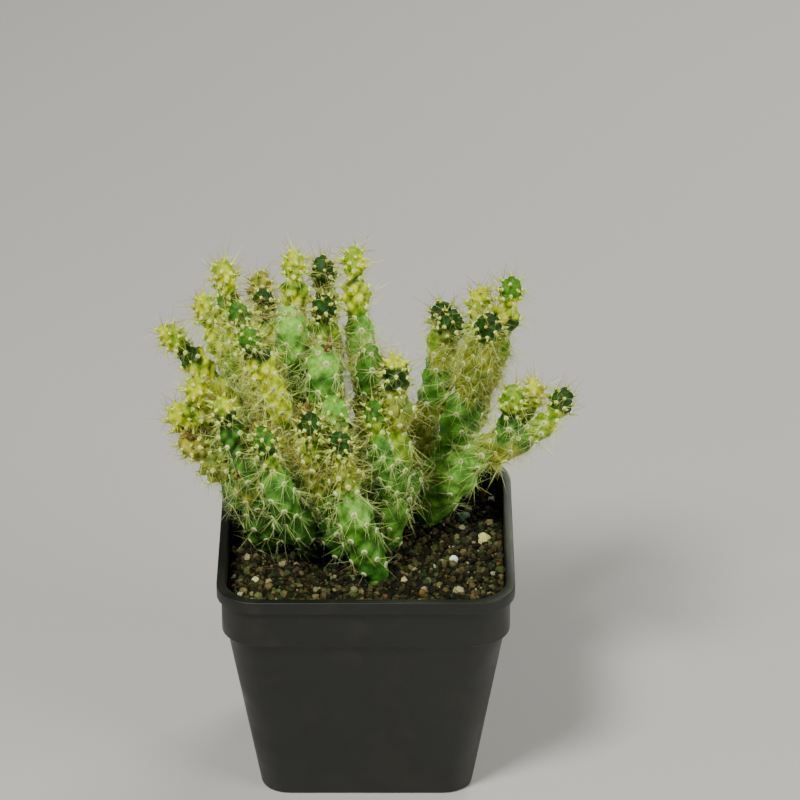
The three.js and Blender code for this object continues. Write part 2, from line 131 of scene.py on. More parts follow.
def object_place(tree):
    return add_node(tree, "ShaderNodeTexCoord").outputs["Object"]


def noise_of(tree, place, size, detail):
    """A noise whose lumps are about this many mm across."""
    inputs = {"Vector": place, "Scale": 1 / (size * MM), "Detail": detail}
    return add_node(tree, "ShaderNodeTexNoise", inputs).outputs["Fac"]


def mottle(tree, colour, size, detail, dark, light):
    """A colour made darker and lighter, by these factors, in lumps about this many mm across, and the noise
    that does it."""
    lumps = noise_of(tree, object_place(tree), size, detail)
    return dim(tree, colour, remap(tree, lumps, 0.3, 0.7, dark, light)), lumps


def finish_material(tree, shader, colour, rough, height=None, strength=0.3, depth=0.05):
    """Joins a colour to the shader, sets its roughness, and raises a height as a bump this many mm deep."""
    tree.links.new(colour, shader.inputs["Base Color"])
    if isinstance(rough, bpy.types.NodeSocket):
        tree.links.new(rough, shader.inputs["Roughness"])
    else:
        shader.inputs["Roughness"].default_value = rough
    if height:
        inputs = {"Height": height, "Strength": strength, "Distance": depth * MM}
        tree.links.new(add_node(tree, "ShaderNodeBump", inputs).outputs["Normal"], shader.inputs["Normal"])


def attribute(tree, label, kind="Fac"):
    return add_node(tree, "ShaderNodeAttribute", attribute_name=label).outputs[kind]


def make_pot_plastic():
    """Black polypropylene. It has a satin sheen, and thin brown dust dulls it here and there."""
    material, tree, shader = new_material("black_moulded_polypropylene")
    place = object_place(tree)
    dust = noise_of(tree, place, 14, 6)
    colour = blend(tree, remap(tree, dust, 0.52, 0.85, 0, 0.35), linear("#0f1011"), linear("#4a4236"))
    rough = remap(tree, dust, 0.3, 0.7, 0.38, 0.6)
    # Spark-eroded grain is about 0.1 mm in life, and is drawn at 0.35 mm so that it shows.
    finish_material(tree, shader, colour, rough, noise_of(tree, place, 0.35, 3), 0.35, 0.04)
    shader.inputs["IOR"].default_value = 1.49
    return material


def extrude_steps(side, height, steps):
    """Extrudes the selected square, from its side and height, through others given as side and height."""
    for next_side, next_height in steps:
        rise = (0, 0, (next_height - height) * MM)
        grow = next_side / side
        bpy.ops.mesh.extrude_region_move(TRANSFORM_OT_translate={"value": rise})
        bpy.ops.transform.resize(value=(grow, grow, 1), center_override=(0, 0, 0))
        side, height = next_side, next_height


def rounded_square(side, corner):
    """Starts a mesh as a level square face at the origin with rounded corners, left in edit mode."""
    bpy.ops.object.select_all(action="DESELECT")
    bpy.ops.mesh.primitive_plane_add(size=side * MM)
    bpy.ops.object.mode_set(mode="EDIT")
    bpy.ops.mesh.select_all(action="SELECT")
    bpy.ops.mesh.bevel(offset=corner * MM, segments=8, affect="VERTICES")
    bpy.ops.mesh.select_all(action="SELECT")


def apply_modifier(piece, kind, **settings):
    """Puts a modifier with these settings on the active piece, and applies it."""
    modifier = piece.modifiers.new(kind.lower(), kind)
    for name, value in settings.items():
        setattr(modifier, name, value)
    bpy.ops.object.modifier_apply(modifier=modifier.name)


def hand_over(piece, name, material, node=None):
    """Names a finished piece, paints it, sets it on the frame, and has it stand for its CAD node, if any."""
    piece.name = piece.data.name = name
    piece.data.materials.clear()
    piece.data.materials.append(material)
    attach(piece, "root")
    if node:
        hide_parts(node)


# The outside from the foot up to the rim, and the inside from the rim down to the floor.
rounded_square(FOOT_SIDE, FOOT_CORNER)
extrude_steps(
    FOOT_SIDE,
    0,
    [
        (wall_top, shoulder),
        (band_side, shoulder + BAND_SLOPE),
        (band_side, POT_HEIGHT - LIP_DEPTH),
        (LIP_SIDE, POT_HEIGHT - LIP_DEPTH),
        (LIP_SIDE, POT_HEIGHT),
        (band_side - 2 * WALL, POT_HEIGHT),
        (band_side - 2 * WALL, shoulder + BAND_SLOPE + WALL),
        (wall_top - 2 * WALL, shoulder + WALL),
        (floor_side, floor_top),
    ],
)
bpy.ops.mesh.select_all(action="DESELECT")
bpy.ops.object.mode_set(mode="OBJECT")
# The underside, from the foot's rim up to the raised floor and down again to the pad.
pot = bpy.context.object
for face in pot.data.polygons:
    face.select = abs(face.normal.z) > 0.9 and abs(face.center.z) < 0.1 * MM
bpy.ops.object.mode_set(mode="EDIT")
rim_inner = FOOT_SIDE - 2 * FOOT_RIM
pad_top = FLOOR_PAD + 2 * FLOOR_LIFT
extrude_steps(
    FOOT_SIDE, 0, [(rim_inner, 0), (rim_inner, FLOOR_LIFT), (pad_top, FLOOR_LIFT), (FLOOR_PAD, 0)]
)
bpy.ops.mesh.select_all(action="SELECT")
bpy.ops.mesh.normals_make_consistent(inside=False)
bpy.ops.object.mode_set(mode="OBJECT")
drills = []
for x in (-DRAIN_AT, DRAIN_AT):
    for y in (-DRAIN_AT, DRAIN_AT):
        through = {"radius": DRAIN_RADIUS * MM, "depth": 6 * FLOOR_LIFT * MM}
        bpy.ops.mesh.primitive_cylinder_add(vertices=32, location=(x * MM, y * MM, floor_top * MM), **through)
        drills.append(bpy.context.object)
for drill in drills:
    drill.select_set(True)
bpy.ops.object.join()
drill = bpy.context.object
bpy.ops.object.select_all(action="DESELECT")
bpy.context.view_layer.objects.active = pot
pot.select_set(True)
apply_modifier(pot, "BOOLEAN", object=drill, operation="DIFFERENCE", solver="EXACT")
bpy.data.objects.remove(drill)
apply_modifier(pot, "BEVEL", width=EDGE_ROUND * MM, segments=3, limit_method="ANGLE", angle_limit=SHARP)
bpy.ops.object.shade_smooth_by_angle(angle=SHARP)
hand_over(pot, "pot_shell", make_pot_plastic(), "pot")

# The soil. Loose potting mix of dark peat and sharp grit, pressed level 1 cm under the rim. Its body is one
# closed block with a crumbly top, and the loose grains and pebbles that lie on it are a piece of their own.
SOIL_LEVEL = 66
SOIL_GAP = 0.35  # between the soil and the pot's wall and floor
SOIL_SIDE = band_side - 2 * WALL - 2 * SOIL_GAP
SOIL_CORNER = 9.5  # radius of the corners of its top
SOIL_CELLS = 130  # cells of its top's mesh, each way
GRAIN_CELL = 1.1  # width of the spots of colour in it
SOIL_NARROWS = 2.4  # the soil's sides begin to narrow this far over the pot's inner shoulder
# The lumps, crumbs and grit in the top: how wide and how high each is, and the layer of noise that it takes.
SOIL_LUMPS = [(9, 0.55, 3), (2.2, 0.5, 7), (0.9, 0.25, 11)]


def soil_height(x, y):
    """Height of the soil's top at a place on it."""
    height = SOIL_LEVEL
    for wide, high, layer in SOIL_LUMPS:
        height += high * noise.noise(Vector((x / wide, y / wide, layer)))
    return height


def into_rounded(x, y, half, corner):
    """Moves a place in a square straight in towards the middle, so that the square gets round corners."""
    far = max(abs(x), abs(y))
    near = min(abs(x), abs(y))
    if far < 1e-9 or near / far <= (half - corner) / half:
        return x, y
    slope = near / far
    reach = half - corner
    a, b, c = 1 + slope**2, -2 * reach * (1 + slope), 2 * reach**2 - corner**2
    edge = (-b + math.sqrt(b * b - 4 * a * c)) / (2 * a)
    return x * edge / half, y * edge / half


def make_soil_material(name, loose):
    """Dull peat and grit. Loose grains take their own colours, and the block is mottled at a grain's size."""
    material, tree, shader = new_material(name)
    if loose:
        own = attribute(tree, "grain", "Color")
    else:
        spots = {"Vector": object_place(tree), "Scale": 1 / (GRAIN_CELL * MM)}
        cells = add_node(tree, "ShaderNodeTexVoronoi", spots)
        pick = add_node(tree, "ShaderNodeSeparateColor", {"Color": cells.outputs["Color"]})
        ramp = add_node(tree, "ShaderNodeValToRGB", {"Fac": pick.outputs["Red"]})
        ramp.color_ramp.interpolation = "CONSTANT"
        stops = [(0, "#0c0a04"), (0.4, "#1b160a"), (0.7, "#302510"), (0.86, "#57421a"), (0.94, "#585a36")]
        for _ in stops[2:]:
            ramp.color_ramp.elements.new(0.5)
        for element, (at, colour) in zip(ramp.color_ramp.elements, stops):
            element.position = at
            element.color = linear(colour)
        own = ramp.outputs["Color"]
    colour, fine = mottle(tree, own, 0.5, 5, 0.5, 1.3)
    finish_material(tree, shader, colour, 0.8 if loose else 0.9, fine, 0.6, 0.15)
    shader.inputs["Specular IOR Level"].default_value = 0.2
    return material


bpy.ops.object.select_all(action="DESELECT")
bpy.ops.mesh.primitive_grid_add(x_subdivisions=SOIL_CELLS, y_subdivisions=SOIL_CELLS, size=SOIL_SIDE * MM)
soil = bpy.context.object
for vertex in soil.data.vertices:
    x, y = into_rounded(vertex.co.x / MM, vertex.co.y / MM, SOIL_SIDE / 2, SOIL_CORNER)
    vertex.co = (x * MM, y * MM, soil_height(x, y) * MM)
bpy.ops.object.mode_set(mode="EDIT")
bpy.ops.mesh.select_all(action="DESELECT")
bpy.ops.mesh.select_mode(type="EDGE")
bpy.ops.mesh.select_non_manifold()
# The sides go down from the crumbly border, and the bottom is pressed flat and closed.
soil_floor = floor_top + SOIL_GAP
extrude_steps(
    SOIL_SIDE,
    SOIL_LEVEL,
    [
        (SOIL_SIDE, shoulder + BAND_SLOPE + WALL + SOIL_NARROWS),
        (wall_top - 2 * WALL - 2 * SOIL_GAP, shoulder),
        (floor_side - 2 * SOIL_GAP, soil_floor),
    ],
)
bpy.ops.transform.resize(value=(1, 1, 0), center_override=(0, 0, soil_floor * MM))
bpy.ops.mesh.edge_face_add()
bpy.ops.mesh.select_all(action="SELECT")
bpy.ops.mesh.normals_make_consistent(inside=False)
bpy.ops.object.mode_set(mode="OBJECT")
bpy.ops.object.shade_smooth_by_angle(angle=math.radians(50))
hand_over(soil, "soil_block", make_soil_material("gritty_potting_mix", False), "soil")

# The loose grit: crushed lava, quartz, clay and peat crumbs, most of them 1 to 2 mm across, lying close
# together on the soil, and a few larger pebbles. Each is a small rough stone of its own colour, sunk by over
# a third, and held in place by the peat.
GRAINS = 4600
SPARE = 1.1  # grains drawn for each one kept, as some fall outside the pot's corners
GRAIN_SIZE = (1, 3.4)  # mm across
SMALLER = 2.2  # the larger this is, the more of the grains are small
RAISED = 0.12  # how far a grain's middle lies over the soil, in its own widths
EDGE_MARGIN = 0.6  # from the soil's edge to the nearest grain's middle
# Each colour of grain, and its share.
GRAIN_COLOURS = [
    ("#131108", 26), ("#211e10", 26), ("#353019", 20), ("#4c4229", 12), ("#655a3a", 7), ("#6e4a26", 3),
    ("#8c8260", 4), ("#a8a488", 1.5), ("#c8c9b0", 0.3), ("#414a26", 8), ("#58623a", 3), ("#26301a", 8),
]
# Each pebble's x, y, width across and colour.
PEBBLES = [
    (36.7, 9.9, 4.6, "#c9c480"),
    (27.2, -2.5, 2.8, "#e6e8e0"),
    (31.8, 38, 4, "#a6a07c"),
    (37.4, 39, 3.2, "#a8682c"),
    (39.6, 36, 2.8, "#d5d3c8"),
    (31.8, 28.4, 3.6, "#7d7347"),
    (30.3, 23.8, 4.2, "#5f7c66"),
    (-34.3, -15.2, 2.6, "#d8d0a0"),
    (11.6, -15.2, 2.4, "#c8a877"),
    (24, -31, 3.4, "#8d7a52"),
    (-22, -33, 3.6, "#4f5a4e"),
    (33, -26, 3.2, "#6e5436"),
    (-38, 31, 3.8, "#6c6650"),
]
drawn = np.random.default_rng(11)


def read_template(piece):
    """A modelled piece as its points and its faces, for copying. The piece itself is taken away."""
    points = np.array([vertex.co for vertex in piece.data.vertices])
    faces = [tuple(face.vertices) for face in piece.data.polygons]
    bpy.data.objects.remove(piece)
    return SimpleNamespace(points=points, faces=faces)


def set_values(mesh, label, values):
    """Gives each point of a mesh its own number or colour, under a label that its material reads."""
    kind, field = ("FLOAT", "value") if values.size == len(mesh.vertices) else ("FLOAT_COLOR", "color")
    layer = mesh.attributes.get(label) or mesh.attributes.new(label, kind, "POINT")
    layer.data.foreach_set(field, values.reshape(-1).astype(np.float32))


def strew(name, template, places, axes, values):
    """One mesh of copies of a template. Each copy's axes are its x, y and z columns, with its size in them.
    values maps an attribute's name to one number or colour for each point of each copy."""
    count, size = len(places), len(template.points)
    points = np.einsum("nij,pj->npi", axes, template.points) + places[:, None]
    faces = [
        tuple(index + copy * size for index in face) for copy in range(count) for face in template.faces
    ]
    mesh = bpy.data.meshes.new(name)
    mesh.from_pydata(points.reshape(-1, 3).tolist(), [], faces)
    for label, value in values.items():
        set_values(mesh, label, value)
    piece = bpy.data.objects.new(name, mesh)
    bpy.context.scene.collection.objects.link(piece)
    return piece


def unit(vectors):
    return vectors / np.linalg.norm(vectors, axis=-1, keepdims=True)


def spun_axes(directions):
    """For each direction, axes whose z lies along it, turned about it at random."""
    spin = drawn.uniform(0, 6.28, len(directions))
    z = unit(directions)
    aside = np.where(np.abs(z[:, 2:]) < 0.9, [[0, 0, 1]], [[1, 0, 0]])
    x = unit(np.cross(aside, z))
    y = np.cross(z, x)
    turned_x = x * np.cos(spin)[:, None] + y * np.sin(spin)[:, None]
    return np.stack([turned_x, np.cross(z, turned_x), z], axis=2)


def grain_copies(name, template, places, sizes, colours):
    """Stones at these places on the soil, each stretched and turned its own way."""
    count = len(places)
    axes = spun_axes(drawn.normal(size=(count, 3)))
    stretch = drawn.uniform(0.62, 1.1, (count, 1, 3))
    levels = [soil_height(x, y) for x, y in places]
    at = np.column_stack([places, np.array(levels) + RAISED * sizes]) * MM
    tone = colours * drawn.uniform(0.8, 1.2, (count, 1))
    values = {"grain": np.repeat(tone[:, None], len(template.points), axis=1)}
    return strew(name, template, at, axes * stretch * (sizes * MM / 2)[:, None, None], values)


def make_stone_template(subdivisions, roughness):
    """A rough ball of radius one, with dents and lumps of this many radii."""
    bpy.ops.object.select_all(action="DESELECT")
    bpy.ops.mesh.primitive_ico_sphere_add(subdivisions=subdivisions, radius=1)
    stone = bpy.context.object
    for vertex in stone.data.vertices:
        vertex.co *= 1 + roughness * noise.noise(vertex.co * 1.7)
    return read_template(stone)


def inside_pot(places, margin):
    """Which places lie on the soil, a margin inside its edge."""
    half = SOIL_SIDE / 2 - margin
    over = np.maximum(np.abs(places) - (half - SOIL_CORNER), 0)
    return np.hypot(over[:, 0], over[:, 1]) < SOIL_CORNER


grain_places = drawn.uniform(-SOIL_SIDE / 2, SOIL_SIDE / 2, (int(GRAINS * SPARE), 2))
grain_places = grain_places[inside_pot(grain_places, EDGE_MARGIN)][:GRAINS]
least, most = GRAIN_SIZE
grain_sizes = least + (most - least) * drawn.random(len(grain_places)) ** SMALLER
shares = np.array([share for _, share in GRAIN_COLOURS], float)
picks = drawn.choice(len(GRAIN_COLOURS), len(grain_places), p=shares / shares.sum())
grain_palette = np.array([linear(colour) for colour, _ in GRAIN_COLOURS])
grit_material = make_soil_material("crushed_stone_grit", True)
grit = grain_copies(
    "soil_grit", make_stone_template(1, 0.35), grain_places, grain_sizes, grain_palette[picks]
)
hand_over(grit, "soil_grit", grit_material)
pebble_places = np.array([(x, y) for x, y, _, _ in PEBBLES])
pebble_sizes = np.array([size for _, _, size, _ in PEBBLES])
pebble_colours = np.array([linear(colour) for _, _, _, colour in PEBBLES])
pebble = make_stone_template(3, 0.3)
pebbles = grain_copies("soil_pebbles", pebble, pebble_places, pebble_sizes, pebble_colours)
pebbles.data.shade_smooth()
hand_over(pebbles, "soil_pebbles", grit_material)

# The stems. Living joints of a variegated cane cholla: old joints of waxy jade skin below, and shorter and
# thinner new joints, yellow with dark green bands, at each tip. Each stem grew as one body with its forks,
# and follows the same curve as its solid.

# Each curve goes from its foot, through its waist, to its tip, as x, y and height over the soil. old is the
# radius of the old growth, and young lists the new joints from the tip down, as length and radius. coat
# lists the colours from the tip down, as length and colour, and the last goes on to the foot. A fork leaves
# its stem at a share of its length, from, or leaves the fork whose number, counted from 1, is given as on.
STEMS = {
    "stem_front": {
        "foot": (3, -14), "waist": (-4, -18, 28), "tip": (-8, -22, 55),
        "old": 5.3, "young": [(10, 2.7), (13, 3.5)],
        "coat": [
            (5.5, "dark"), (4, "lime"), (9, "olive"), (14, "pale"), (4, "leaf"), (10, "jade"), (9, "deep"),
        ],
    },
    "stem_front_leaning": {
        "foot": (-6, -2), "waist": (-13, -12, 34), "tip": (-17, -22, 61),
        "old": 4.8, "young": [(10, 2.8), (13, 3.6)],
        "coat": [(5.5, "dark"), (9, "lime"), (16, "olive"), (12, "jade"), (9, "deep")],
    },
    "stem_low_left": {
        "foot": (-30, 8), "waist": (-35, -9, 29), "tip": (-44, -14, 63),
        "old": 5, "young": [(8, 2.6), (12, 3.6)],
        "coat": [(3, "yellow"), (6, "dark"), (6, "leaf"), (16, "jade"), (6, "olive"), (9, "deep")],
        "forks": [
            {
                "from": 0.3, "waist": (-44, -7, 34), "tip": (-56, -8, 46), "old": 4.6,
                "young": [(9, 2.8), (10, 3.8)], "coat": [(9, "straw"), (10, "olive"), (9, "deep")],
            },
        ],
    },
    "stem_far_left": {
        "foot": (-34, 20), "waist": (-38, 8, 40), "tip": (-62, 8, 76),
        "old": 4.7, "young": [(10, 2.6), (12, 3.5)],
        "coat": [(8, "yellow"), (5, "dark"), (14, "yellow"), (14, "lime"), (12, "olive"), (9, "jade")],
        "forks": [
            {
                "from": 0.5, "waist": (-50, -1, 51), "tip": (-51, -6, 65), "old": 4.4,
                "young": [(9, 2.9), (9, 3.7)],
                "coat": [(8, "yellow"), (3, "lime"), (9, "yellow"), (5, "leaf"), (9, "olive")],
            },
            {
                "from": 0.35, "waist": (-51, 1, 42), "tip": (-58, -2, 54), "old": 4.4,
                "young": [(9, 3.2)], "coat": [(9, "yellow"), (4, "leaf"), (9, "lime")],
            },
        ],
    },
    "stem_yellow": {
        "foot": (-18, 2), "waist": (-24, -5, 47), "tip": (-36, -20, 89),
        "old": 4.1, "young": [(9, 2.6), (12, 3.5)],
        "coat": [(6, "leaf"), (6, "dark"), (26, "bright"), (8, "lime"), (14, "straw"), (9, "jade")],
        "forks": [
            {
                "from": 0.5, "waist": (-34, 1, 68), "tip": (-39, -1, 88), "old": 4.1,
                "young": [(9, 2.7), (10, 3.5)], "coat": [(7, "leaf"), (8, "lime"), (9, "olive")],
            },
            {
                "from": 0.08, "waist": (-25, -18, 29), "tip": (-31, -22, 57), "old": 5.3,
                "young": [(13, 2.7)],
                "coat": [(5, "leaf"), (4, "dark"), (4, "lime"), (14, "jade"), (6, "leaf"), (9, "deep")],
            },
        ],
    },
    "stem_back_left": {
        "foot": (-27, 33), "waist": (-38, 25, 46), "tip": (-44, 22, 91.5),
        "old": 4.5, "young": [(11, 2.7), (12, 3.3)],
        "coat": [(10, "yellow"), (4, "leaf"), (16, "yellow"), (18, "lime"), (9, "olive")],
        "forks": [
            {
                "from": 0.42, "waist": (-46, 30, 60), "tip": (-51, 33, 74), "old": 4,
                "young": [(10, 2.8), (10, 3.4)], "coat": [(22, "yellow"), (9, "lime")],
            },
        ],
    },
    "stem_dark_banded": {
        "foot": (-21, 20), "waist": (-27, 21, 46), "tip": (-32, 21, 82),
        "old": 4.4, "young": [(9, 2.6), (12, 3.6)],
        "coat": [(4.5, "dark"), (0.8, "straw"), (4.5, "dark"), (14, "yellow"), (9, "olive")],
        "forks": [
            {
                "from": 0.55, "waist": (-31, 28, 66), "tip": (-33, 33, 82), "old": 3.8,
                "young": [(10, 2.6), (10, 3.2)], "coat": [(8, "straw"), (9, "olive")],
            },
        ],
    },
    "stem_middle": {
        "foot": (-8, 17), "waist": (-17, 7, 48), "tip": (-24, 3, 84),
        "old": 5.3, "young": [], "coat": [(16, "pale"), (9, "jade")],
    },
    "stem_back": {
        "foot": (-9, 31), "waist": (-12, 19, 46), "tip": (-13, 10, 85),
        "old": 4.4, "young": [(8, 2.9), (11, 3.6)],
        "coat": [(8, "dark"), (14, "lime"), (10, "yellow"), (9, "olive")],
        "forks": [
            {
                "from": 0.5, "waist": (-12, 31, 66), "tip": (-14, 35, 86), "old": 4.1,
                "young": [(10, 2.9), (10, 3.5)],
                "coat": [(8, "dark"), (5, "leaf"), (12, "yellow"), (9, "olive")],
            },
            {
                "from": 0.3, "waist": (-20, 20, 64), "tip": (-22, 21, 95), "old": 4.1,
                "young": [(8, 2.6), (11, 3.5)],
                "coat": [(9, "yellow"), (2, "leaf"), (12, "yellow"), (8, "lime"), (9, "jade")],
            },
        ],
    },
    "stem_tallest": {
        "foot": (8, 19), "waist": (0, 18, 50), "tip": (-4, 24, 95),
        "old": 5, "young": [(9, 2.5), (12, 3.4)],
        "coat": [(8, "yellow"), (3, "dark"), (7, "yellow"), (3, "lime"), (12, "pale"), (9, "olive")],
        "forks": [
            {
                "from": 0.45, "waist": (2, 8, 57), "tip": (1, 5, 70), "old": 4.8,
                "young": [], "coat": [(20, "jade"), (9, "leaf")],
            },
            {
                "from": 0.08, "waist": (-8, -2, 40), "tip": (-13, -4, 76), "old": 5.6,
                "young": [], "coat": [(7, "pale"), (20, "jade"), (9, "deep")],
            },
            {
                "on": 2, "from": 0.48, "waist": (-9, -10, 51), "tip": (-10, -12, 62), "old": 4,
                "young": [(8, 3.2)], "coat": [(8, "pale"), (9, "jade")],
            },
        ],
    },
    "stem_right": {
        "foot": (5, 5), "waist": (9, -5, 36), "tip": (9, -4, 72),
        "old": 4.9, "young": [(12, 3.1), (12, 3.9)],
        "coat": [(2, "yellow"), (8, "dark"), (14, "olive"), (10, "lime"), (9, "jade")],
        "forks": [
            {
                "from": 0.3, "waist": (5, -8, 41), "tip": (2, -5, 57), "old": 4,
                "young": [(9, 2.8)], "coat": [(5, "leaf"), (5, "lime"), (9, "jade")],
            },
            {
                "from": 0.27, "waist": (13, 0, 25), "tip": (15, 2, 29), "old": 3,
                "young": [], "coat": [(9, "jade")],
            },
        ],
    },
    "stem_right_branching": {
        "foot": (20, 22), "waist": (31, 24, 42), "tip": (38, 14, 76),
        "old": 5.7, "young": [(10, 3.2)],
        "coat": [(6, "dark"), (3, "leaf"), (24, "olive"), (9, "jade")],
        "forks": [
            {
                "from": 0.53, "waist": (34, 31, 62), "tip": (36, 34, 76), "old": 4.2,
                "young": [(10, 2.9)], "coat": [(8, "yellow"), (8, "lime"), (9, "olive")],
            },
            {
                "from": 0.3, "waist": (38, 28, 51), "tip": (45, 24, 84), "old": 4.6,
                "young": [(9, 2.8), (11, 3.5)],
                "coat": [(5, "leaf"), (7, "yellow"), (5, "dark"), (9, "lime"), (9, "olive")],
            },
            {
                "from": 0.08, "waist": (33, 11, 28), "tip": (52, 5, 42), "old": 5.6,
                "young": [], "coat": [(5, "leaf"), (12, "olive"), (9, "pale")],
            },
            {
                "on": 3, "from": 0.78, "waist": (44, 4, 47), "tip": (45, 5, 57), "old": 3.4,
                "young": [(9, 2.7)], "coat": [(6, "lime"), (4, "dark"), (9, "jade")],
            },
            {
                "on": 3, "from": 0.84, "waist": (50, 11, 47), "tip": (52, 12, 55), "old": 3.4,
                "young": [(9, 2.7)], "coat": [(9, "yellow"), (9, "lime")],
            },
            {
                "on": 3, "from": 0.88, "waist": (56, 4, 46), "tip": (61, 5, 56), "old": 3.4,
                "young": [(9, 2.8)], "coat": [(6, "dark"), (6, "yellow"), (9, "lime")],
            },
        ],
    },
    "stem_right_left": {
        "foot": (10, 34), "waist": (20, 34, 34), "tip": (27, 33, 68),
        "old": 5.5, "young": [(10, 3.3)], "coat": [(5, "dark"), (12, "olive"), (14, "jade"), (9, "olive")],
        "forks": [
            {
                "from": 0.7, "waist": (23, 37, 60), "tip": (24, 38, 69), "old": 3.9,
                "young": [(8, 2.8)], "coat": [(5, "dark"), (9, "lime")],
            },
        ],
    },
}
# Each coat's colour, and a darker one for its blotches, which the grooves between its tubercles also take,
# partly as their own greener colour and partly as painted shade.
SKIN_COLOURS = {
    # Painted light: the next coat is a lighter copy of yellow, for the light that falls on the face of the
    # yellow stem.
    "bright": ("#f4fa10", "#ccde18"),
    "yellow": ("#d0d402", "#72a408"),
    "straw": ("#aaa436", "#7c8424"),
    "olive": ("#929826", "#66822a"),
    "lime": ("#90ac0e", "#4f800e"),
    "leaf": ("#4a8410", "#2c5a08"),
    # Painted shade: the next coat is a darker green that the low front stems take at their feet, where less
    # light reaches near the soil.
    "deep": ("#4e8e2c", "#346e1e"),
    "dark": ("#1a4c00", "#0e3200"),
    "jade": ("#5c962c", "#386c1c"),
    "pale": ("#90ca50", "#589830"),
}
WAX = "#b6d274"  # the bloom on the skin
ROUND_WOOL = "#dddc88"  # the skin close round the wool
SIDES = 8  # two for each column of tubercles
ROW = 0.9  # from one row of tubercles to the next, in radii of the joint
TWIST = 0.35  # how far each row turns round the stem, in sides
BUMP = 0.15  # height of a tubercle on old growth, in radii
YOUNG_BUMP = 0.42
HOLLOW = 0.6  # depth of the skin between the tubercles, in their heights
ROUND_KNOB = 0.7  # the smaller this is, the rounder the tubercles and the narrower their grooves
KNOB = 0.84  # radius of a tubercle's foot, in radii of the joint
BEAK = 0.1  # how far a tubercle's top points up the stem, in radii
PINCH = 0.74  # radius between two joints, in radii of the thinner one
TIP_RADIUS = 0.45  # radius of the last row at a tip, in radii of its joint
JOINT_END = 3  # how squarely a joint ends at a pinch
TIP_END = 4.5  # how squarely it ends at its tip
DOME = 0.6  # height of the cap on a tip, in radii of its last row
OLD_JOINT = 24  # mm, the usual length of a joint of old growth
TAPER = 0.1  # the lowest joint of old growth is thicker by this share, and the highest thinner
ROOT_RADIUS = 3.7
FORK_START = 0.6  # radius of a fork at its start, in radii of its first joint
RISE = 1.5  # a stem's foot stands straight up to this height over the soil
SUNK = 4  # length of the foot under the soil
UPRIGHT = 5  # length over which the rings of a foot go from level to square with its lean
BARE = 3  # length over which the tubercles rise from nothing at the soil
STEP = 0.6  # between the skin's rings
TURNS = 48  # points round each ring
CROWN = 7  # length of a tip where the tubercles give way to crowded buds
OLD_CROWN = 0.4  # the budded share of that length on old growth
BUDS = 20  # at each tip of new growth
OLD_BUDS = 9  # at each tip of old growth
BUD_RISE = 0.9  # how far each bud stands out
BUD_WIDTH = 0.95
GOLDEN_ANGLE = math.pi * (3 - math.sqrt(5))
LIMB_TURN = 2.4  # how far each limb's buds and lumps are turned on from the last limb's
WAVER = 5  # how far the edges of the coat's bands waver, low on a limb
BAND_EDGE = 1.6  # length over which one band goes over into the next


def smooth_step(values):
    """Values from 0 to 1, with a soft start and end. What lies outside is brought to 0 or 1."""
    clipped = np.clip(values, 0, 1)
    return clipped * clipped * (3 - 2 * clipped)


def joints_along(length, old, young):
    """The joints of a limb from its start to its tip, as length, radius and whether it is new growth."""
    fresh = [(size, radius, True) for size, radius in reversed(young)]
    rest = length - sum(size for size, _, _ in fresh)
    count = max(1, math.floor(rest / OLD_JOINT + 0.5))
    tapers = np.linspace(TAPER, -TAPER, count) if count > 1 else [0]
    return [(rest / count, old * (1 + taper), False) for taper in tapers] + fresh


def swell_along(joints, start_radius, places):
    """Radius, height of the tubercles, row of tubercles and newness at places along a limb. Each joint
    swells from a narrow start to its full girth and back."""
    radius, bump, row, fresh = (np.zeros(len(places)) for _ in range(4))
    begin, low, rows = 0, start_radius, 0
    for i, (size, girth, young) in enumerate(joints):
        last = i + 1 == len(joints)
        high = TIP_RADIUS * girth if last else PINCH * min(girth, joints[i + 1][1])
        count = max(3, math.floor(size / (ROW * girth) + 0.5))
        here = places >= begin - 1e-6
        share = np.clip((places[here] - begin) / size, 0, 1)
        swell = 1 - np.abs(2 * share - 1) ** np.where(last & (share > 0.5), TIP_END, JOINT_END)
        ends = low + (high - low) * share
        radius[here] = ends + (girth - ends) * swell
        bump[here] = (YOUNG_BUMP if young else BUMP) * (0.35 + 0.65 * swell)
        row[here] = rows + share * count
        fresh[here] = young
        begin, low, rows = begin + size, high, rows + count
    return radius, bump, row, fresh


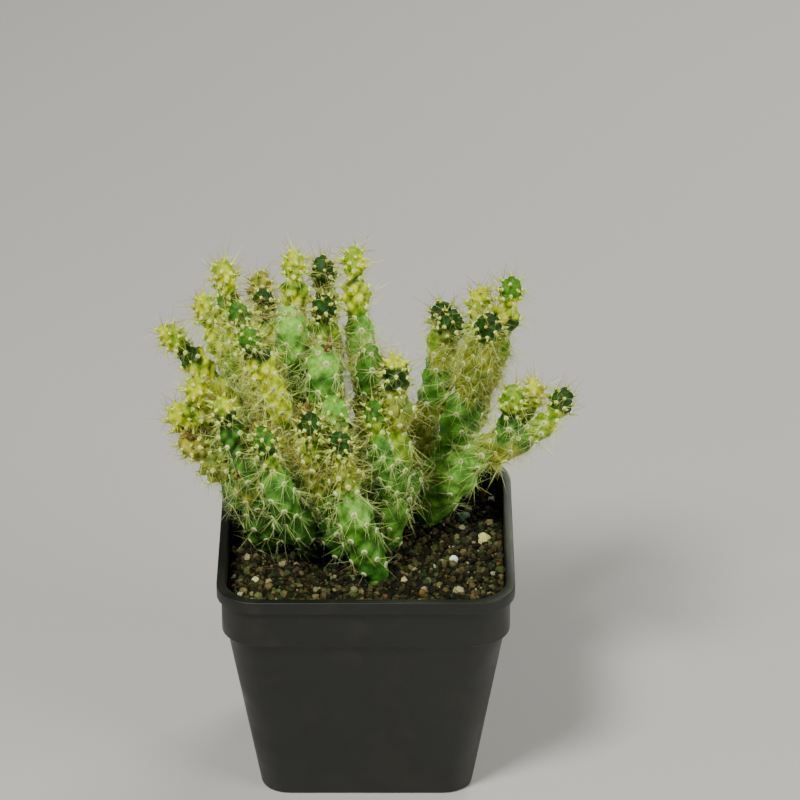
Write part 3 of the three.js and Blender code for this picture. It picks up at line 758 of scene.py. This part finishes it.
def grow_limb(stem, start, part, rooted):
    """Adds a stem or fork to the limbs, with the middle line, frame and thickness at each of its rings, and
    returns its curve and how far along it each point lies."""
    tip = np.array(part["tip"], float) + (0, 0, SOIL_LEVEL)
    waist = np.array(part["waist"], float) + (0, 0, SOIL_LEVEL)
    bend = 2 * waist - (start + tip) / 2
    share = np.linspace(0, 1, 401)[:, None]
    line = (1 - share) ** 2 * start + 2 * share * (1 - share) * bend + share**2 * tip
    steps = np.linalg.norm(np.diff(line, axis=0), axis=1)
    reached = np.concatenate([[0], np.cumsum(steps)])
    length = reached[-1]
    joints = joints_along(length, part["old"], part["young"])
    start_radius = ROOT_RADIUS if rooted else FORK_START * joints[0][1]
    count = math.ceil(length / STEP)
    below = -np.arange(SUNK + RISE, 0, -STEP) if rooted else np.empty(0)
    dome = np.linspace(0, math.pi / 2, 6)[1:]
    along_line = np.concatenate([below, np.linspace(0, length, count + 1)])
    places = np.concatenate([along_line, np.full(len(dome), length)])
    radius, bump, row, fresh = swell_along(joints, start_radius, np.maximum(places, 0))
    cap = np.concatenate([np.zeros(len(along_line)), dome])
    middle = np.column_stack([np.interp(places, reached, line[:, k]) for k in range(3)])
    middle[:, 2] += np.minimum(places, 0)
    tangent = np.gradient(line, reached, axis=0)
    along = np.column_stack([np.interp(places, reached, tangent[:, k]) for k in range(3)])
    if rooted:
        leaning = smooth_step(places / UPRIGHT)[:, None]
        along = unit(along) * leaning + np.array([0, 0, 1]) * (1 - leaning)
    along = unit(along)
    across = unit(np.cross([0, 1, 0], along))
    crown = smooth_step((length - places) / CROWN)
    order = np.arange(BUDS if fresh[-1] else OLD_BUDS)
    budded = CROWN if fresh[-1] else OLD_CROWN * CROWN
    top = length + DOME * radius[-1] - 0.1
    doming = DOME * radius * np.sin(cap)
    limb = SimpleNamespace(
        bud_place=top - budded * ((order + 0.25) / len(order)) ** 0.8,
        bud_turn=order * GOLDEN_ANGLE + len(limbs) * LIMB_TURN,
        stem=stem,
        length=length,
        coat=part["coat"],
        places=places + doming,
        middle=middle + along * doming[:, None],
        along=along,
        across=across,
        away=np.cross(along, across),
        radius=radius * np.cos(cap),
        bump=bump * crown * smooth_step((places + RISE) / BARE),
        row=row + np.minimum(places, 0) / 4,
        fresh=fresh,
        seed=len(limbs) * LIMB_TURN,
    )
    limbs.append(limb)
    return line, reached


limbs = []
for name, part in STEMS.items():
    foot = np.array([*part["foot"], SOIL_LEVEL + RISE], float)
    lines = [grow_limb(name, foot, part, True)]
    for fork in part.get("forks", []):
        line, reached = lines[fork.get("on", 0)]
        at = fork["from"] * reached[-1]
        start = np.array([np.interp(at, reached, line[:, k]) for k in range(3)])
        lines.append(grow_limb(name, start, fork, False))


def relief(row, turn):
    """How high the skin is at a row and a turn round the stem: 1 on top of each tubercle, and -1 in the
    grooves round it. The tubercles of each row stand between those of the next."""
    side = SIDES * turn / (2 * math.pi) - TWIST * row
    gap = np.full(len(row), np.inf)
    for near_row in (np.floor(row), np.floor(row) + 1):
        near_side = near_row + 2 * np.round((side - near_row) / 2)
        gap = np.minimum(gap, np.hypot((side - near_side) * 2 * math.pi / SIDES, (row - near_row) * ROW))
    return np.cos(math.pi * np.minimum(gap / KNOB, 1))


def swelling(bump, rise):
    """How far the skin stands out, in radii: round tubercles with narrower grooves between them."""
    return bump * ((1 + HOLLOW) * ((1 + rise) / 2) ** ROUND_KNOB - HOLLOW)


def coat_at(limb, place, points):
    """The skin's colour, and the darker colour of its blotches and of the painted shade in its grooves, at
    places on a limb, from its bands. Their edges waver.
    """
    from_tip = limb.length - place
    waver = np.array([noise.noise(Vector(point)) for point in points / 4])
    from_tip = from_tip + WAVER * waver * (0.3 + 0.7 * smooth_step(from_tip / 25))
    palette = {band: np.array([rgb(colour) for colour in pair]) for band, pair in SKIN_COLOURS.items()}
    colours = np.repeat(palette[limb.coat[0][1]][None], len(place), axis=0)
    edge = 0
    for (size, _), (_, band) in zip(limb.coat, limb.coat[1:]):
        edge += size
        share = smooth_step((from_tip - edge) / BAND_EDGE + 0.5)[:, None, None]
        colours = colours * (1 - share) + palette[band] * share
    return colours[:, 0], colours[:, 1]


def along_limb(limb, values, place):
    """The values of a limb's rings, read at places between them."""
    if values.ndim == 1:
        return np.interp(place, limb.places, values)
    return np.column_stack([np.interp(place, limb.places, column) for column in values.T])


def surface(limb, place, turn):
    """Points on a limb's skin without its buds, with the directions out of the skin and up the stem."""
    radius, bump, row = (along_limb(limb, values, place) for values in (limb.radius, limb.bump, limb.row))
    rise = relief(row, turn)
    along = unit(along_limb(limb, limb.along, place))
    across, away = (along_limb(limb, values, place) for values in (limb.across, limb.away))
    out = unit(across * np.cos(turn)[:, None] + away * np.sin(turn)[:, None])
    lift = BEAK * radius * np.maximum(rise, 0) * np.minimum(bump / BUMP, 1)
    reach = radius * (1 + swelling(bump, rise))
    points = along_limb(limb, limb.middle, place) + out * reach[:, None] + along * lift[:, None]
    steps = limb.places + 1e-6 * np.arange(len(limb.places))
    slope = np.clip(along_limb(limb, np.gradient(limb.radius, steps), place), -2.5, 2.5)
    return points, unit(out - along * slope[:, None]), along


def skin_of(limb):
    """The closed skin of one limb as an object, from a flat grid rolled round its middle line."""
    rings = len(limb.places)
    bpy.ops.object.select_all(action="DESELECT")
    bpy.ops.mesh.primitive_grid_add(x_subdivisions=TURNS, y_subdivisions=rings + 1, size=1)
    piece = bpy.context.object
    ring, turn = np.divmod(np.arange(len(piece.data.vertices)), TURNS + 1)
    turn = turn * (2 * math.pi / TURNS)
    closed = (ring == 0) | (ring == rings + 1)
    ring = np.clip(ring - 1, 0, rings - 1)
    rise = relief(limb.row[ring], turn)
    points, out, _ = surface(limb, limb.places[ring], turn)
    # The girth of each limb is a little uneven, and the buds stand out round its tip.
    lumpy = 0.02 * np.sin(2 * turn + 1.3 * limb.row[ring] + limb.seed)
    lumpy += 0.015 * np.sin(3 * turn - 0.7 * limb.row[ring] + 2 * limb.seed)
    points += out * (lumpy * limb.radius[ring])[:, None]
    near_tip = limb.places[ring] > limb.length - CROWN - 1
    buds = surface(limb, limb.bud_place, limb.bud_turn)[0]
    gaps = np.linalg.norm(points[near_tip, None] - buds, axis=2).min(axis=1)
    knob = np.exp(-((gaps / BUD_WIDTH) ** 2))
    points[near_tip] += out[near_tip] * (BUD_RISE * knob)[:, None]
    rise[near_tip] = np.maximum(rise[near_tip] * limb.bump[ring][near_tip] / YOUNG_BUMP, 2 * knob - 1)
    points[closed] = limb.middle[ring][closed]
    piece.data.vertices.foreach_set("co", (points * MM).reshape(-1))
    for label, colour in zip(("coat", "blotch_and_shade"), coat_at(limb, limb.places[ring], points)):
        set_values(piece.data, label, np.column_stack([colour, np.ones(len(ring))]))
    set_values(piece.data, "relief", rise)
    set_values(piece.data, "young", limb.fresh[ring])
    bpy.ops.object.mode_set(mode="EDIT")
    bpy.ops.mesh.select_all(action="SELECT")
    bpy.ops.mesh.remove_doubles(threshold=0.001 * MM)
    bpy.ops.mesh.normals_make_consistent(inside=False)
    bpy.ops.object.mode_set(mode="OBJECT")
    return piece


def translucent(shader, weight, radius, depth):
    """Lets light this many mm into the surface, by each colour's share of it."""
    shader.inputs["Subsurface Weight"].default_value = weight
    shader.inputs["Subsurface Radius"].default_value = radius
    shader.inputs["Subsurface Scale"].default_value = depth * MM


def make_skin_material():
    """Plant skin under a thin bloom of wax: blotched, soft and slightly translucent, and pale round the wool.
    The grooves take the blotch colour, partly the skin's own and partly painted shade, and are darkened
    further by painted shade. New growth has less wax."""
    material, tree, shader = new_material("waxy_cholla_skin")
    place = object_place(tree)
    rise = attribute(tree, "relief")
    young = attribute(tree, "young")
    patch = remap(tree, noise_of(tree, place, 5, 5), 0.44, 0.6, 0, 0.85)
    # Painted shade, partly the skin's own colour: the grooves between the tubercles take the darker blotch
    # colour, more so on new growth.
    groove_colour_and_shade = remap(tree, rise, -0.15, -0.85, 0, 1)
    groove_colour_and_shade = combine(tree, "MULTIPLY", groove_colour_and_shade, remap(tree, young, 0, 1, 0.4, 0.8))
    blotch_and_shade_share = combine(tree, "MAXIMUM", patch, groove_colour_and_shade)
    skin = blend(tree, blotch_and_shade_share, attribute(tree, "coat", "Color"), attribute(tree, "blotch_and_shade", "Color"))
    # The wax lies on the tubercles, in patches.
    bloom = combine(tree, "MULTIPLY", remap(tree, rise, 0.1, 0.8, 0, 0.2), remap(tree, young, 0, 1, 1, 0.3))
    bloom = combine(tree, "MULTIPLY", bloom, remap(tree, noise_of(tree, place, 3, 2), 0.35, 0.6, 0.2, 1))
    skin = blend(tree, bloom, skin, linear(WAX))
    skin = blend(tree, remap(tree, rise, 0.86, 0.99, 0, 0.5), skin, linear(ROUND_WOOL))
    skin, _ = mottle(tree, skin, 1.4, 5, 0.62, 1.2)
    # Painted shade: the skin is darkened in the grooves, down to 0.6 at their bottom.
    skin = dim(tree, skin, remap(tree, rise, -0.9, 0, 0.6, 1))
    # The skin's cells and pores are about 0.1 mm, and are drawn at 0.3 mm.
    finish_material(tree, shader, skin, 0.58, noise_of(tree, place, 0.3, 2), 0.5, 0.07)
    shader.inputs["Specular IOR Level"].default_value = 0.3
    translucent(shader, 0.2, (1, 1, 0.3), 1)
    return material


def read_values(piece, label):
    """A skin's numbers or colours under one label, as one row for each point."""
    layer = piece.data.attributes[label]
    field, size = ("value", 1) if layer.data_type == "FLOAT" else ("color", 4)
    values = np.empty(len(layer.data) * size, np.float32)
    layer.data.foreach_get(field, values)
    return values.reshape(-1, size)


def copy_nearest(whole, points, values):
    """Gives each point of the joined skin the values of the nearest point of its parts, so that the colours
    run on across the seams."""
    tree = kdtree.KDTree(len(points))
    for index, point in enumerate(points):
        tree.insert(point, index)
    tree.balance()
    nearest = [tree.find(vertex.co)[1] for vertex in whole.data.vertices]
    for label, rows in values.items():
        set_values(whole.data, label, rows[nearest])


skin_material = make_skin_material()
for name in STEMS:
    skins = [skin_of(limb) for limb in limbs if limb.stem == name]
    whole = skins[0]
    points = [vertex.co.copy() for skin in skins for vertex in skin.data.vertices]
    values = {
        label: np.concatenate([read_values(skin, label) for skin in skins])
        for label in ("coat", "blotch_and_shade", "relief", "young")
    }
    for fork in skins[1:]:
        bpy.ops.object.select_all(action="DESELECT")
        bpy.context.view_layer.objects.active = whole
        whole.select_set(True)
        apply_modifier(whole, "BOOLEAN", object=fork, operation="UNION", solver="MANIFOLD")
        bpy.data.objects.remove(fork)
    if len(skins) > 1:
        copy_nearest(whole, points, values)
    whole.data.shade_smooth()
    hand_over(whole, name + "_skin", skin_material, name)

# The areoles. Each tubercle carries a cushion of short pale wool, brown in its middle, from which the spines
# grow. On new growth the cushions are small round beads, and at the very tip they crowd together.
CLEARANCE = 0.1  # areoles and spines stay this far from the other stems
OVER_SOIL = 0.3  # and this far over the soil
BETWEEN_FROM = 10  # from a new tip to the first areole between the tubercles
drawn = np.random.default_rng(23)


def areoles_of(limb):
    """A limb's areoles: one on each tubercle, and a spiral of them on the buds round its tip. On golden skin
    small ones stand between the tubercles too, but not near a new tip."""
    rows = np.arange(1, math.floor(limb.row.max()) + 1)
    grid_row, grid_side = (values.reshape(-1) for values in np.meshgrid(rows, np.arange(SIDES)))
    rising = limb.places <= limb.length
    place = np.interp(grid_row, limb.row[rising], limb.places[rising])
    turn = (grid_side + TWIST * grid_row) * (2 * math.pi / SIDES)
    between = (grid_row + grid_side) % 2 == 1
    keep = place < limb.bud_place.min() - 0.8
    between = np.concatenate([between[keep], np.zeros(len(limb.bud_place), bool)])
    place = np.concatenate([place[keep], limb.bud_place])
    turn = np.concatenate([turn[keep], limb.bud_turn])
    points, out, along = surface(limb, place, turn)
    points[-len(limb.bud_place) :] += 0.8 * BUD_RISE * out[-len(limb.bud_place) :]
    group = SimpleNamespace(
        limb=limb,
        between=between,
        points=points,
        out=out,
        along=along,
        from_tip=limb.places[-1] - place,
        fresh=np.interp(place, limb.places, limb.fresh),
        coat=coat_at(limb, place, points)[0],
    )
    fuzzy = golden(group.coat) & ((group.fresh < 0.5) | (group.from_tip > BETWEEN_FROM))
    return chosen(group, ~between | fuzzy)


def golden(coat):
    """Which of these linear skin colours are olive or straw."""
    return (coat[:, 0] > 0.8 * coat[:, 1]) & (coat[:, 1] < 0.42)


def clear_of_others(limb, points, margin):
    """Which points lie over the soil, and outside every other limb by a margin."""
    clear = points[:, 2] > SOIL_LEVEL + OVER_SOIL
    for other in limbs:
        if other is limb:
            continue
        axis, girth = other.middle[::3], other.radius[::3]
        for begin in range(0, len(points), 2000):
            block = points[begin : begin + 2000]
            gaps = np.linalg.norm(block[:, None] - axis[None], axis=2) - girth
            clear[begin : begin + 2000] &= gaps.min(axis=1) > margin
    return clear


def chosen(group, keep):
    """The same group of areoles with only those kept."""
    values = {key: value if key == "limb" else value[keep] for key, value in vars(group).items()}
    return SimpleNamespace(**values)


areoles = [areoles_of(limb) for limb in limbs]
areoles = [chosen(group, clear_of_others(group.limb, group.points, CLEARANCE)) for group in areoles]
areoles_on = {name: [group for group in areoles if group.limb.stem == name] for name in STEMS}


def make_cushion_template(dimple):
    """A low round cushion on the origin, one wide, with its middle pressed in by a dimple."""
    bpy.ops.object.select_all(action="DESELECT")
    bpy.ops.mesh.primitive_uv_sphere_add(segments=8, ring_count=6, radius=0.5)
    bpy.ops.object.mode_set(mode="EDIT")
    bpy.ops.mesh.select_all(action="SELECT")
    bpy.ops.mesh.bisect(plane_co=(0, 0, -0.1), plane_no=(0, 0, 1), clear_inner=True, use_fill=True)
    bpy.ops.object.mode_set(mode="OBJECT")
    cushion = bpy.context.object
    for vertex in cushion.data.vertices:
        if vertex.co.z > 0.49:
            vertex.co.z -= dimple
    return read_template(cushion)


def make_wool_material():
    """Short matted plant wool: dull with a faint soft sheen, cream at the rim and brown in the middle."""
    material, tree, shader = new_material("matted_areole_wool")
    colour = blend(tree, attribute(tree, "middle"), attribute(tree, "tint", "Color"), linear("#5a4c24"))
    # Wool hairs are far under 0.1 mm, and are drawn as 0.18 mm tufts.
    colour, tufts = mottle(tree, colour, 0.18, 2, 0.6, 1.15)
    finish_material(tree, shader, colour, 0.95, tufts, 0.8, 0.12)
    shader.inputs["Sheen Weight"].default_value = 0.2
    return material


def gather(parts):
    """Joins the same arrays of several parts end to end."""
    return [np.concatenate(arrays) for arrays in zip(*parts)]


def for_points(template, values):
    """One value for each copy of a template, given to each of its points."""
    return np.repeat(values[:, None], len(template.points), axis=1)


def lengthened(axes, wide, tall):
    """Axes with the sizes of copies in them, given in mm across and along z."""
    sizes = np.stack([wide, wide, tall], axis=1) * MM
    return axes * sizes[:, None]


OLD_WOOL = 1.95  # width of a cushion
NEW_WOOL = [(0, 1.05), (5, 1.35), (9, 1.6), (22, 1.85)]  # distance from the tip, and width there
BETWEEN = 0.65  # size of the wool between the tubercles, as a share of the wool on them
FLATNESS = (0.8, 0.4)  # height of new and of old wool, in its widths
WOOL_TINTS = ("#f4fca8", "#e6f2aa")  # new and old
wool_material = make_wool_material()
cushion = make_cushion_template(0.24)
from_axis = np.hypot(cushion.points[:, 0], cushion.points[:, 1])
core = np.clip(1.5 - 4 * from_axis, 0, 1) * (cushion.points[:, 2] > 0)
for name, groups in areoles_on.items():
    points, out, fresh, from_tip, between = gather(
        [(g.points, g.out, g.fresh, g.from_tip, g.between) for g in groups]
    )
    young = fresh > 0.5
    # The cushions are smaller near a tip, and brown in their middle once they are a few mm down from it.
    old_size = OLD_WOOL * (0.8 + 0.2 * smooth_step(from_tip / 6))
    size = np.where(young, np.interp(from_tip, *zip(*NEW_WOOL)), old_size) * np.where(between, BETWEEN, 1)
    size = size * drawn.uniform(0.85, 1.15, len(points))
    axes = lengthened(spun_axes(out), size, size * np.where(young, *FLATNESS))
    tint = np.where(young[:, None], *(linear(tint) for tint in WOOL_TINTS))
    browned = np.where(young, 0.6 * smooth_step((from_tip - 6) / 5), 0.9)
    values = {"tint": for_points(cushion, tint), "middle": core * browned[:, None]}
    wool = strew(name + "_wool", cushion, (points + 0.05 * out) * MM, axes, values)
    wool.data.shade_smooth()
    hand_over(wool, name + "_wool", wool_material)

# The leaves. New growth carries a short fleshy leaf, pointed like a small horn, under each areole. It is pale
# yellow-green with a cream point, and drops off as the joint ages.
LEAF_LENGTH = (2, 3.2)
LEAF_WIDTH = (0.85, 1.15)
LEAFY = 20  # from the tip to the last leaf
LEAF_GREEN = "#6f9a12"  # mixed with the colour of the skin that bears the leaf
LEAF_POINT = "#d0e848"


def make_horn_template(sides, middle=None, swell=1, bow=(0, 0)):
    """A cone, one long and one wide. It may be swollen at its middle, and bowed aside by a share of its
    length."""
    bpy.ops.object.select_all(action="DESELECT")
    bpy.ops.mesh.primitive_cone_add(vertices=sides, radius1=0.5, radius2=0, depth=1, location=(0, 0, 0.5))
    bpy.ops.object.transform_apply(location=True)
    horn = bpy.context.object
    if middle:
        bpy.ops.object.mode_set(mode="EDIT")
        bpy.ops.mesh.select_all(action="SELECT")
        bpy.ops.mesh.bisect(plane_co=(0, 0, middle), plane_no=(0, 0, 1))
        bpy.ops.object.mode_set(mode="OBJECT")
        for vertex in horn.data.vertices:
            if abs(vertex.co.z - middle) < 0.05:
                vertex.co.x = vertex.co.x * swell + bow[0]
                vertex.co.y = vertex.co.y * swell + bow[1]
    return read_template(horn)


def make_leaf_material():
    """Thin fleshy leaf skin, smoother and more translucent than the stem's."""
    material, tree, shader = new_material("fleshy_leaf_skin")
    colour, lumps = mottle(tree, attribute(tree, "tint", "Color"), 0.6, 2, 0.85, 1.12)
    finish_material(tree, shader, colour, 0.4, lumps, 0.3, 0.05)
    translucent(shader, 0.3, (1, 1, 0.4), 0.8)
    return material


leaf_material = make_leaf_material()
leaf = make_horn_template(6, 0.45, 1.5, (0, 0.08))
leaf_shade = np.clip(leaf.points[:, 2], 0, 1)[None, :, None] ** 0.7
for name, groups in areoles_on.items():
    groups = [chosen(g, (g.fresh > 0.5) & (g.from_tip < LEAFY)) for g in groups]
    points, out, along, from_tip, coat = gather(
        [(g.points, g.out, g.along, g.from_tip, g.coat) for g in groups]
    )
    count = len(points)
    if not count:
        continue
    # The leaves lean up along the stem, and are shorter further down from the tip.
    aim = unit(out + along * drawn.uniform(0.1, 0.7, (count, 1)))
    tall = drawn.uniform(*LEAF_LENGTH, count) * (1 - 0.5 * smooth_step((from_tip - 5) / 14))
    axes = lengthened(spun_axes(aim), drawn.uniform(*LEAF_WIDTH, count), tall)
    coat = 0.7 * coat + 0.3 * rgb(LEAF_GREEN)
    tint = coat[:, None] * (1 - leaf_shade) + rgb(LEAF_POINT) * leaf_shade
    tint = np.concatenate([tint, np.ones((count, len(leaf.points), 1))], axis=2)
    leaves = strew(name + "_leaves", leaf, (points - along * 0.5 - out * 0.2) * MM, axes, {"tint": tint})
    leaves.data.shade_smooth()
    hand_over(leaves, name + "_leaves", leaf_material)

# The spines. Hard dry needles of horn-like plant fibre, straw-white and slightly glossy, that grow out of the
# wool. A fan of long ones points down and out on old growth, and a star of short ones stands on new growth.
# Green joints have fine white rays round them, and golden joints a dense golden down.
drawn = np.random.default_rng(37)
# For each kind of spine: the least and most on an areole, the lengths, the thickness, the degrees from the
# skin's normal, how far they point down, and the colour.
OLD_SPINES = [
    ((4, 7), (4, 8), 0.09, (45, 84), 0.55, "#e2f08a"),
    ((2, 3), (6, 11.5), 0.1, (20, 75), 0.2, "#e4f08c"),
]
NEW_SPINES = [
    ((4, 6), (2.4, 4.8), 0.08, (35, 80), -0.1, "#e0f070"),
    ((2, 3), (4.5, 8.5), 0.14, (15, 60), -0.3, "#e0dc8c"),
]
RAYS = ((5, 7), (3, 6.5), 0.08, (66, 88), 0.25, "#ecf6b4")
DOWN = ((6, 9), (1.8, 4.2), 0.12, (40, 85), 0.1, "#ced05a")
GOLDEN_DOWN = ((10, 13), (2.2, 5), 0.12, (35, 85), 0.1, "#b8922c")
BRISTLES = ((6, 6), (0.7, 1.3), 0.1, (40, 80), -0.3, "#c0b048")
ON_GOLD, ON_GREEN = 0.9, 1.05  # thickness on golden and on green skin, against the values above
RUST = "#8e2c06"  # on most of the newest spines, and on none more than 10 mm from a tip
RUSTED = 0.75  # the share of the newest spines that are rusty
SHORTEST = 0.5  # spines that are trimmed shorter than this are left out
SPINES_SHADED_BELOW = 34  # height over the soil below which the spines are darkened, painted shade towards the soil
WORN = 18  # height over the soil below which half of them have broken off
FUZZY = 9  # from the tip to where the golden down begins


def spread(group, numbers, lengths, thick, lean, down, colour):
    """Spines of one kind on a group of areoles, as root, aim, length, thickness, colour and distance from
    the tip."""
    counts = drawn.integers(numbers[0], numbers[1] + 1, len(group.points))
    counts[group.points[:, 2] < SOIL_LEVEL + WORN] //= 2
    owner = np.repeat(np.arange(len(group.points)), counts)
    total = len(owner)
    up = unit(group.along - group.out * np.sum(group.along * group.out, axis=1)[:, None])[owner]
    aside = np.cross(group.out[owner], up)
    angle = drawn.uniform(0, 2 * math.pi, total)
    tilt = np.radians(drawn.uniform(*lean, total))
    flat = unit(up * (np.sin(angle) - down)[:, None] + aside * np.cos(angle)[:, None])
    aim = unit(group.out[owner] * np.cos(tilt)[:, None] + flat * np.sin(tilt)[:, None])
    # They stand round the middle of the wool, in a ring that is wider on old growth.
    ring = np.where(group.fresh[owner] > 0.5, 0.25, 0.45)[:, None]
    roots = group.points[owner] + 0.1 * group.out[owner] + flat * ring
    skin = np.column_stack([group.coat[owner], np.ones(total)])
    thick = thick * np.where(golden(skin), ON_GOLD, ON_GREEN)
    # A spine takes on some of the colour of the skin behind it, painted as that skin seen through the thin
    # spine, and painted shade darkens it low down, towards the soil.
    tint = (0.85 * np.array(linear(colour)) + 0.3 * skin) * drawn.uniform(0.8, 1.1, (total, 1))
    tint *= 0.6 + 0.4 * smooth_step((group.points[owner, 2:] - SOIL_LEVEL) / SPINES_SHADED_BELOW)
    return roots, aim, drawn.uniform(*lengths, total), thick, tint, group.from_tip[owner]


def trimmed(limb, roots, aim, length):
    """The share of each spine, from its root on, that stays clear of the other stems."""
    clear = np.ones(len(roots), bool)
    share = np.zeros(len(roots))
    for part in (0.12, 0.25, 0.4, 0.55, 0.75, 1):
        clear &= clear_of_others(limb, roots + aim * part * length[:, None], CLEARANCE)
        share[clear] = part
    return share


def make_spine_material():
    """Dry horny fibre: straw-white with faint streaks and a silky gloss, rusty on the newest growth."""
    material, tree, shader = new_material("dry_horny_spine")
    colour, _ = mottle(tree, attribute(tree, "tint", "Color"), 1.5, 2, 0.8, 1.1)
    finish_material(tree, shader, colour, 0.4)
    return material


def plant(name, template, parts, material):
    """Needles of several kinds on one stem, as one piece."""
    roots, aim, tall, thick, tint, from_tip = gather(parts)
    keep = tall > SHORTEST
    roots, aim, tall, thick, tint, from_tip = (
        values[keep] for values in (roots, aim, tall, thick, tint, from_tip)
    )
    axes = lengthened(spun_axes(aim), thick, tall)
    rusty = (smooth_step(1.2 - from_tip / 8) * (drawn.random(len(roots)) < RUSTED))[:, None] * 0.7
    tint = tint * (1 - rusty) + np.array(linear(RUST)) * rusty
    piece = strew(name, template, roots * MM, axes, {"tint": for_points(template, tint)})
    hand_over(piece, name, material)


spine_material = make_spine_material()
needle = make_horn_template(3, 0.55, 1.7, (0.2, 0))
bristle = make_horn_template(3)
for name, groups in areoles_on.items():
    needles, tufts = [], []
    for group in groups:
        old = chosen(group, group.fresh < 0.5)
        fuzzy = chosen(group, golden(group.coat) & (group.from_tip > FUZZY))
        for kept, part, kinds in (
            (needles, old, OLD_SPINES),
            (needles, chosen(group, group.fresh >= 0.5), NEW_SPINES),
            (tufts, chosen(old, golden(old.coat)), [DOWN]),
            (tufts, fuzzy, [GOLDEN_DOWN]),
            (tufts, chosen(old, ~golden(old.coat)), [RAYS]),
        ):
            for kind in kinds:
                roots, aim, length, *rest = spread(part, *kind)
                kept.append((roots, aim, length * trimmed(group.limb, roots, aim, length), *rest))
        tufts.append(spread(group, *BRISTLES))
    plant(name + "_spines", needle, needles, spine_material)
    plant(name + "_bristles", bristle, tufts, spine_material)

# The dried buds. Here and there a cluster of withered buds, crumpled, brown and dull, still clings to the
# areole that bore it.
DRIED_BUDS = [(-13, -7, 77), (-56, -11, 47), (-43, -16, 38), (-20, -17, 63)]  # x, y and height over the soil
BUDS_EACH = 12
BUD_COLOURS = ("#6e5a1a", "#9c8430", "#b0a054", "#54441a")


def make_dried_material():
    """Withered plant tissue, wrinkled and dull."""
    material, tree, shader = new_material("withered_bud_tissue")
    colour, folds = mottle(tree, attribute(tree, "tint", "Color"), 0.5, 3, 0.5, 1.2)
    finish_material(tree, shader, colour, 0.85, folds, 0.7, 0.15)
    return material


crumb = make_stone_template(1, 0.5)
points, out = gather([(g.points, g.out) for g in areoles])
spots = np.array(DRIED_BUDS, float) + (0, 0, SOIL_LEVEL)
bearers = np.repeat(np.linalg.norm(points[:, None] - spots, axis=2).argmin(axis=0), BUDS_EACH)
count = len(bearers)
at = points[bearers] + out[bearers] * drawn.uniform(0.2, 1.4, (count, 1)) + drawn.normal(0, 0.75, (count, 3))
size = drawn.uniform(0.5, 0.9, count)
axes = lengthened(spun_axes(drawn.normal(size=(count, 3))), size, 1.4 * size)
tint = np.array([linear(colour) for colour in BUD_COLOURS])
tint = for_points(crumb, tint[drawn.integers(0, len(BUD_COLOURS), count)])
dried = strew("dried_buds", crumb, at * MM, axes, {"tint": tint})
hand_over(dried, "dried_buds", make_dried_material())

# The studio: a plain pale floor, a soft light over the camera's left shoulder, a weaker one on the right
# and one behind, so that the spines catch the light at the plant's edges. The camera looks down on the pot.
TARGET = Vector((10.4, 0, 121.4)) * MM
DISTANCE = 1.365  # metres
ELEVATION = math.radians(28)
# Each light's place, side and power, in metres and watts.
LIGHTS = {
    "key": ((-0.4, -0.62, 1.08), 0.3, 19.5),
    "fill": ((0.85, -0.55, 0.5), 0.6, 8),
    "back": ((0.35, 0.8, 0.75), 0.5, 7),
}


def make_floor_material():
    """Smooth pale card, dull, so that it shows no reflections."""
    material, _, shader = new_material("pale_floor")
    shader.inputs["Base Color"].default_value = linear("#b6b0b8")
    shader.inputs["Roughness"].default_value = 0.8
    return material


bpy.ops.object.select_all(action="DESELECT")
bpy.ops.mesh.primitive_plane_add(size=6, location=(0, 0, -0.0002))
floor = bpy.context.object
floor.name = "floor"
floor.data.materials.append(make_floor_material())
for name, (place, size, power) in LIGHTS.items():
    lamp = bpy.data.objects.new(name, bpy.data.lights.new(name, "AREA"))
    lamp.data.size = size
    lamp.data.energy = power
    lamp.data.color = (0.95, 1, 0.82)
    lamp.location = place
    lamp.rotation_euler = (Vector((0, 0, 0.1)) - lamp.location).to_track_quat("-Z", "Y").to_euler()
    bpy.context.scene.collection.objects.link(lamp)
world = bpy.data.worlds.new("studio")
world.use_nodes = True
world.node_tree.nodes["Background"].inputs["Color"].default_value = linear("#efefec")
world.node_tree.nodes["Background"].inputs["Strength"].default_value = 0.1
bpy.context.scene.world = world
camera = bpy.data.objects.new("camera", bpy.data.cameras.new("camera"))
camera.data.lens = 200.7
camera.data.sensor_width = 36
back = Vector((0, -math.cos(ELEVATION), math.sin(ELEVATION)))
camera.location = TARGET + back * DISTANCE
camera.rotation_euler = (-back).to_track_quat("-Z", "Y").to_euler()
bpy.context.scene.collection.objects.link(camera)
bpy.context.scene.camera = camera
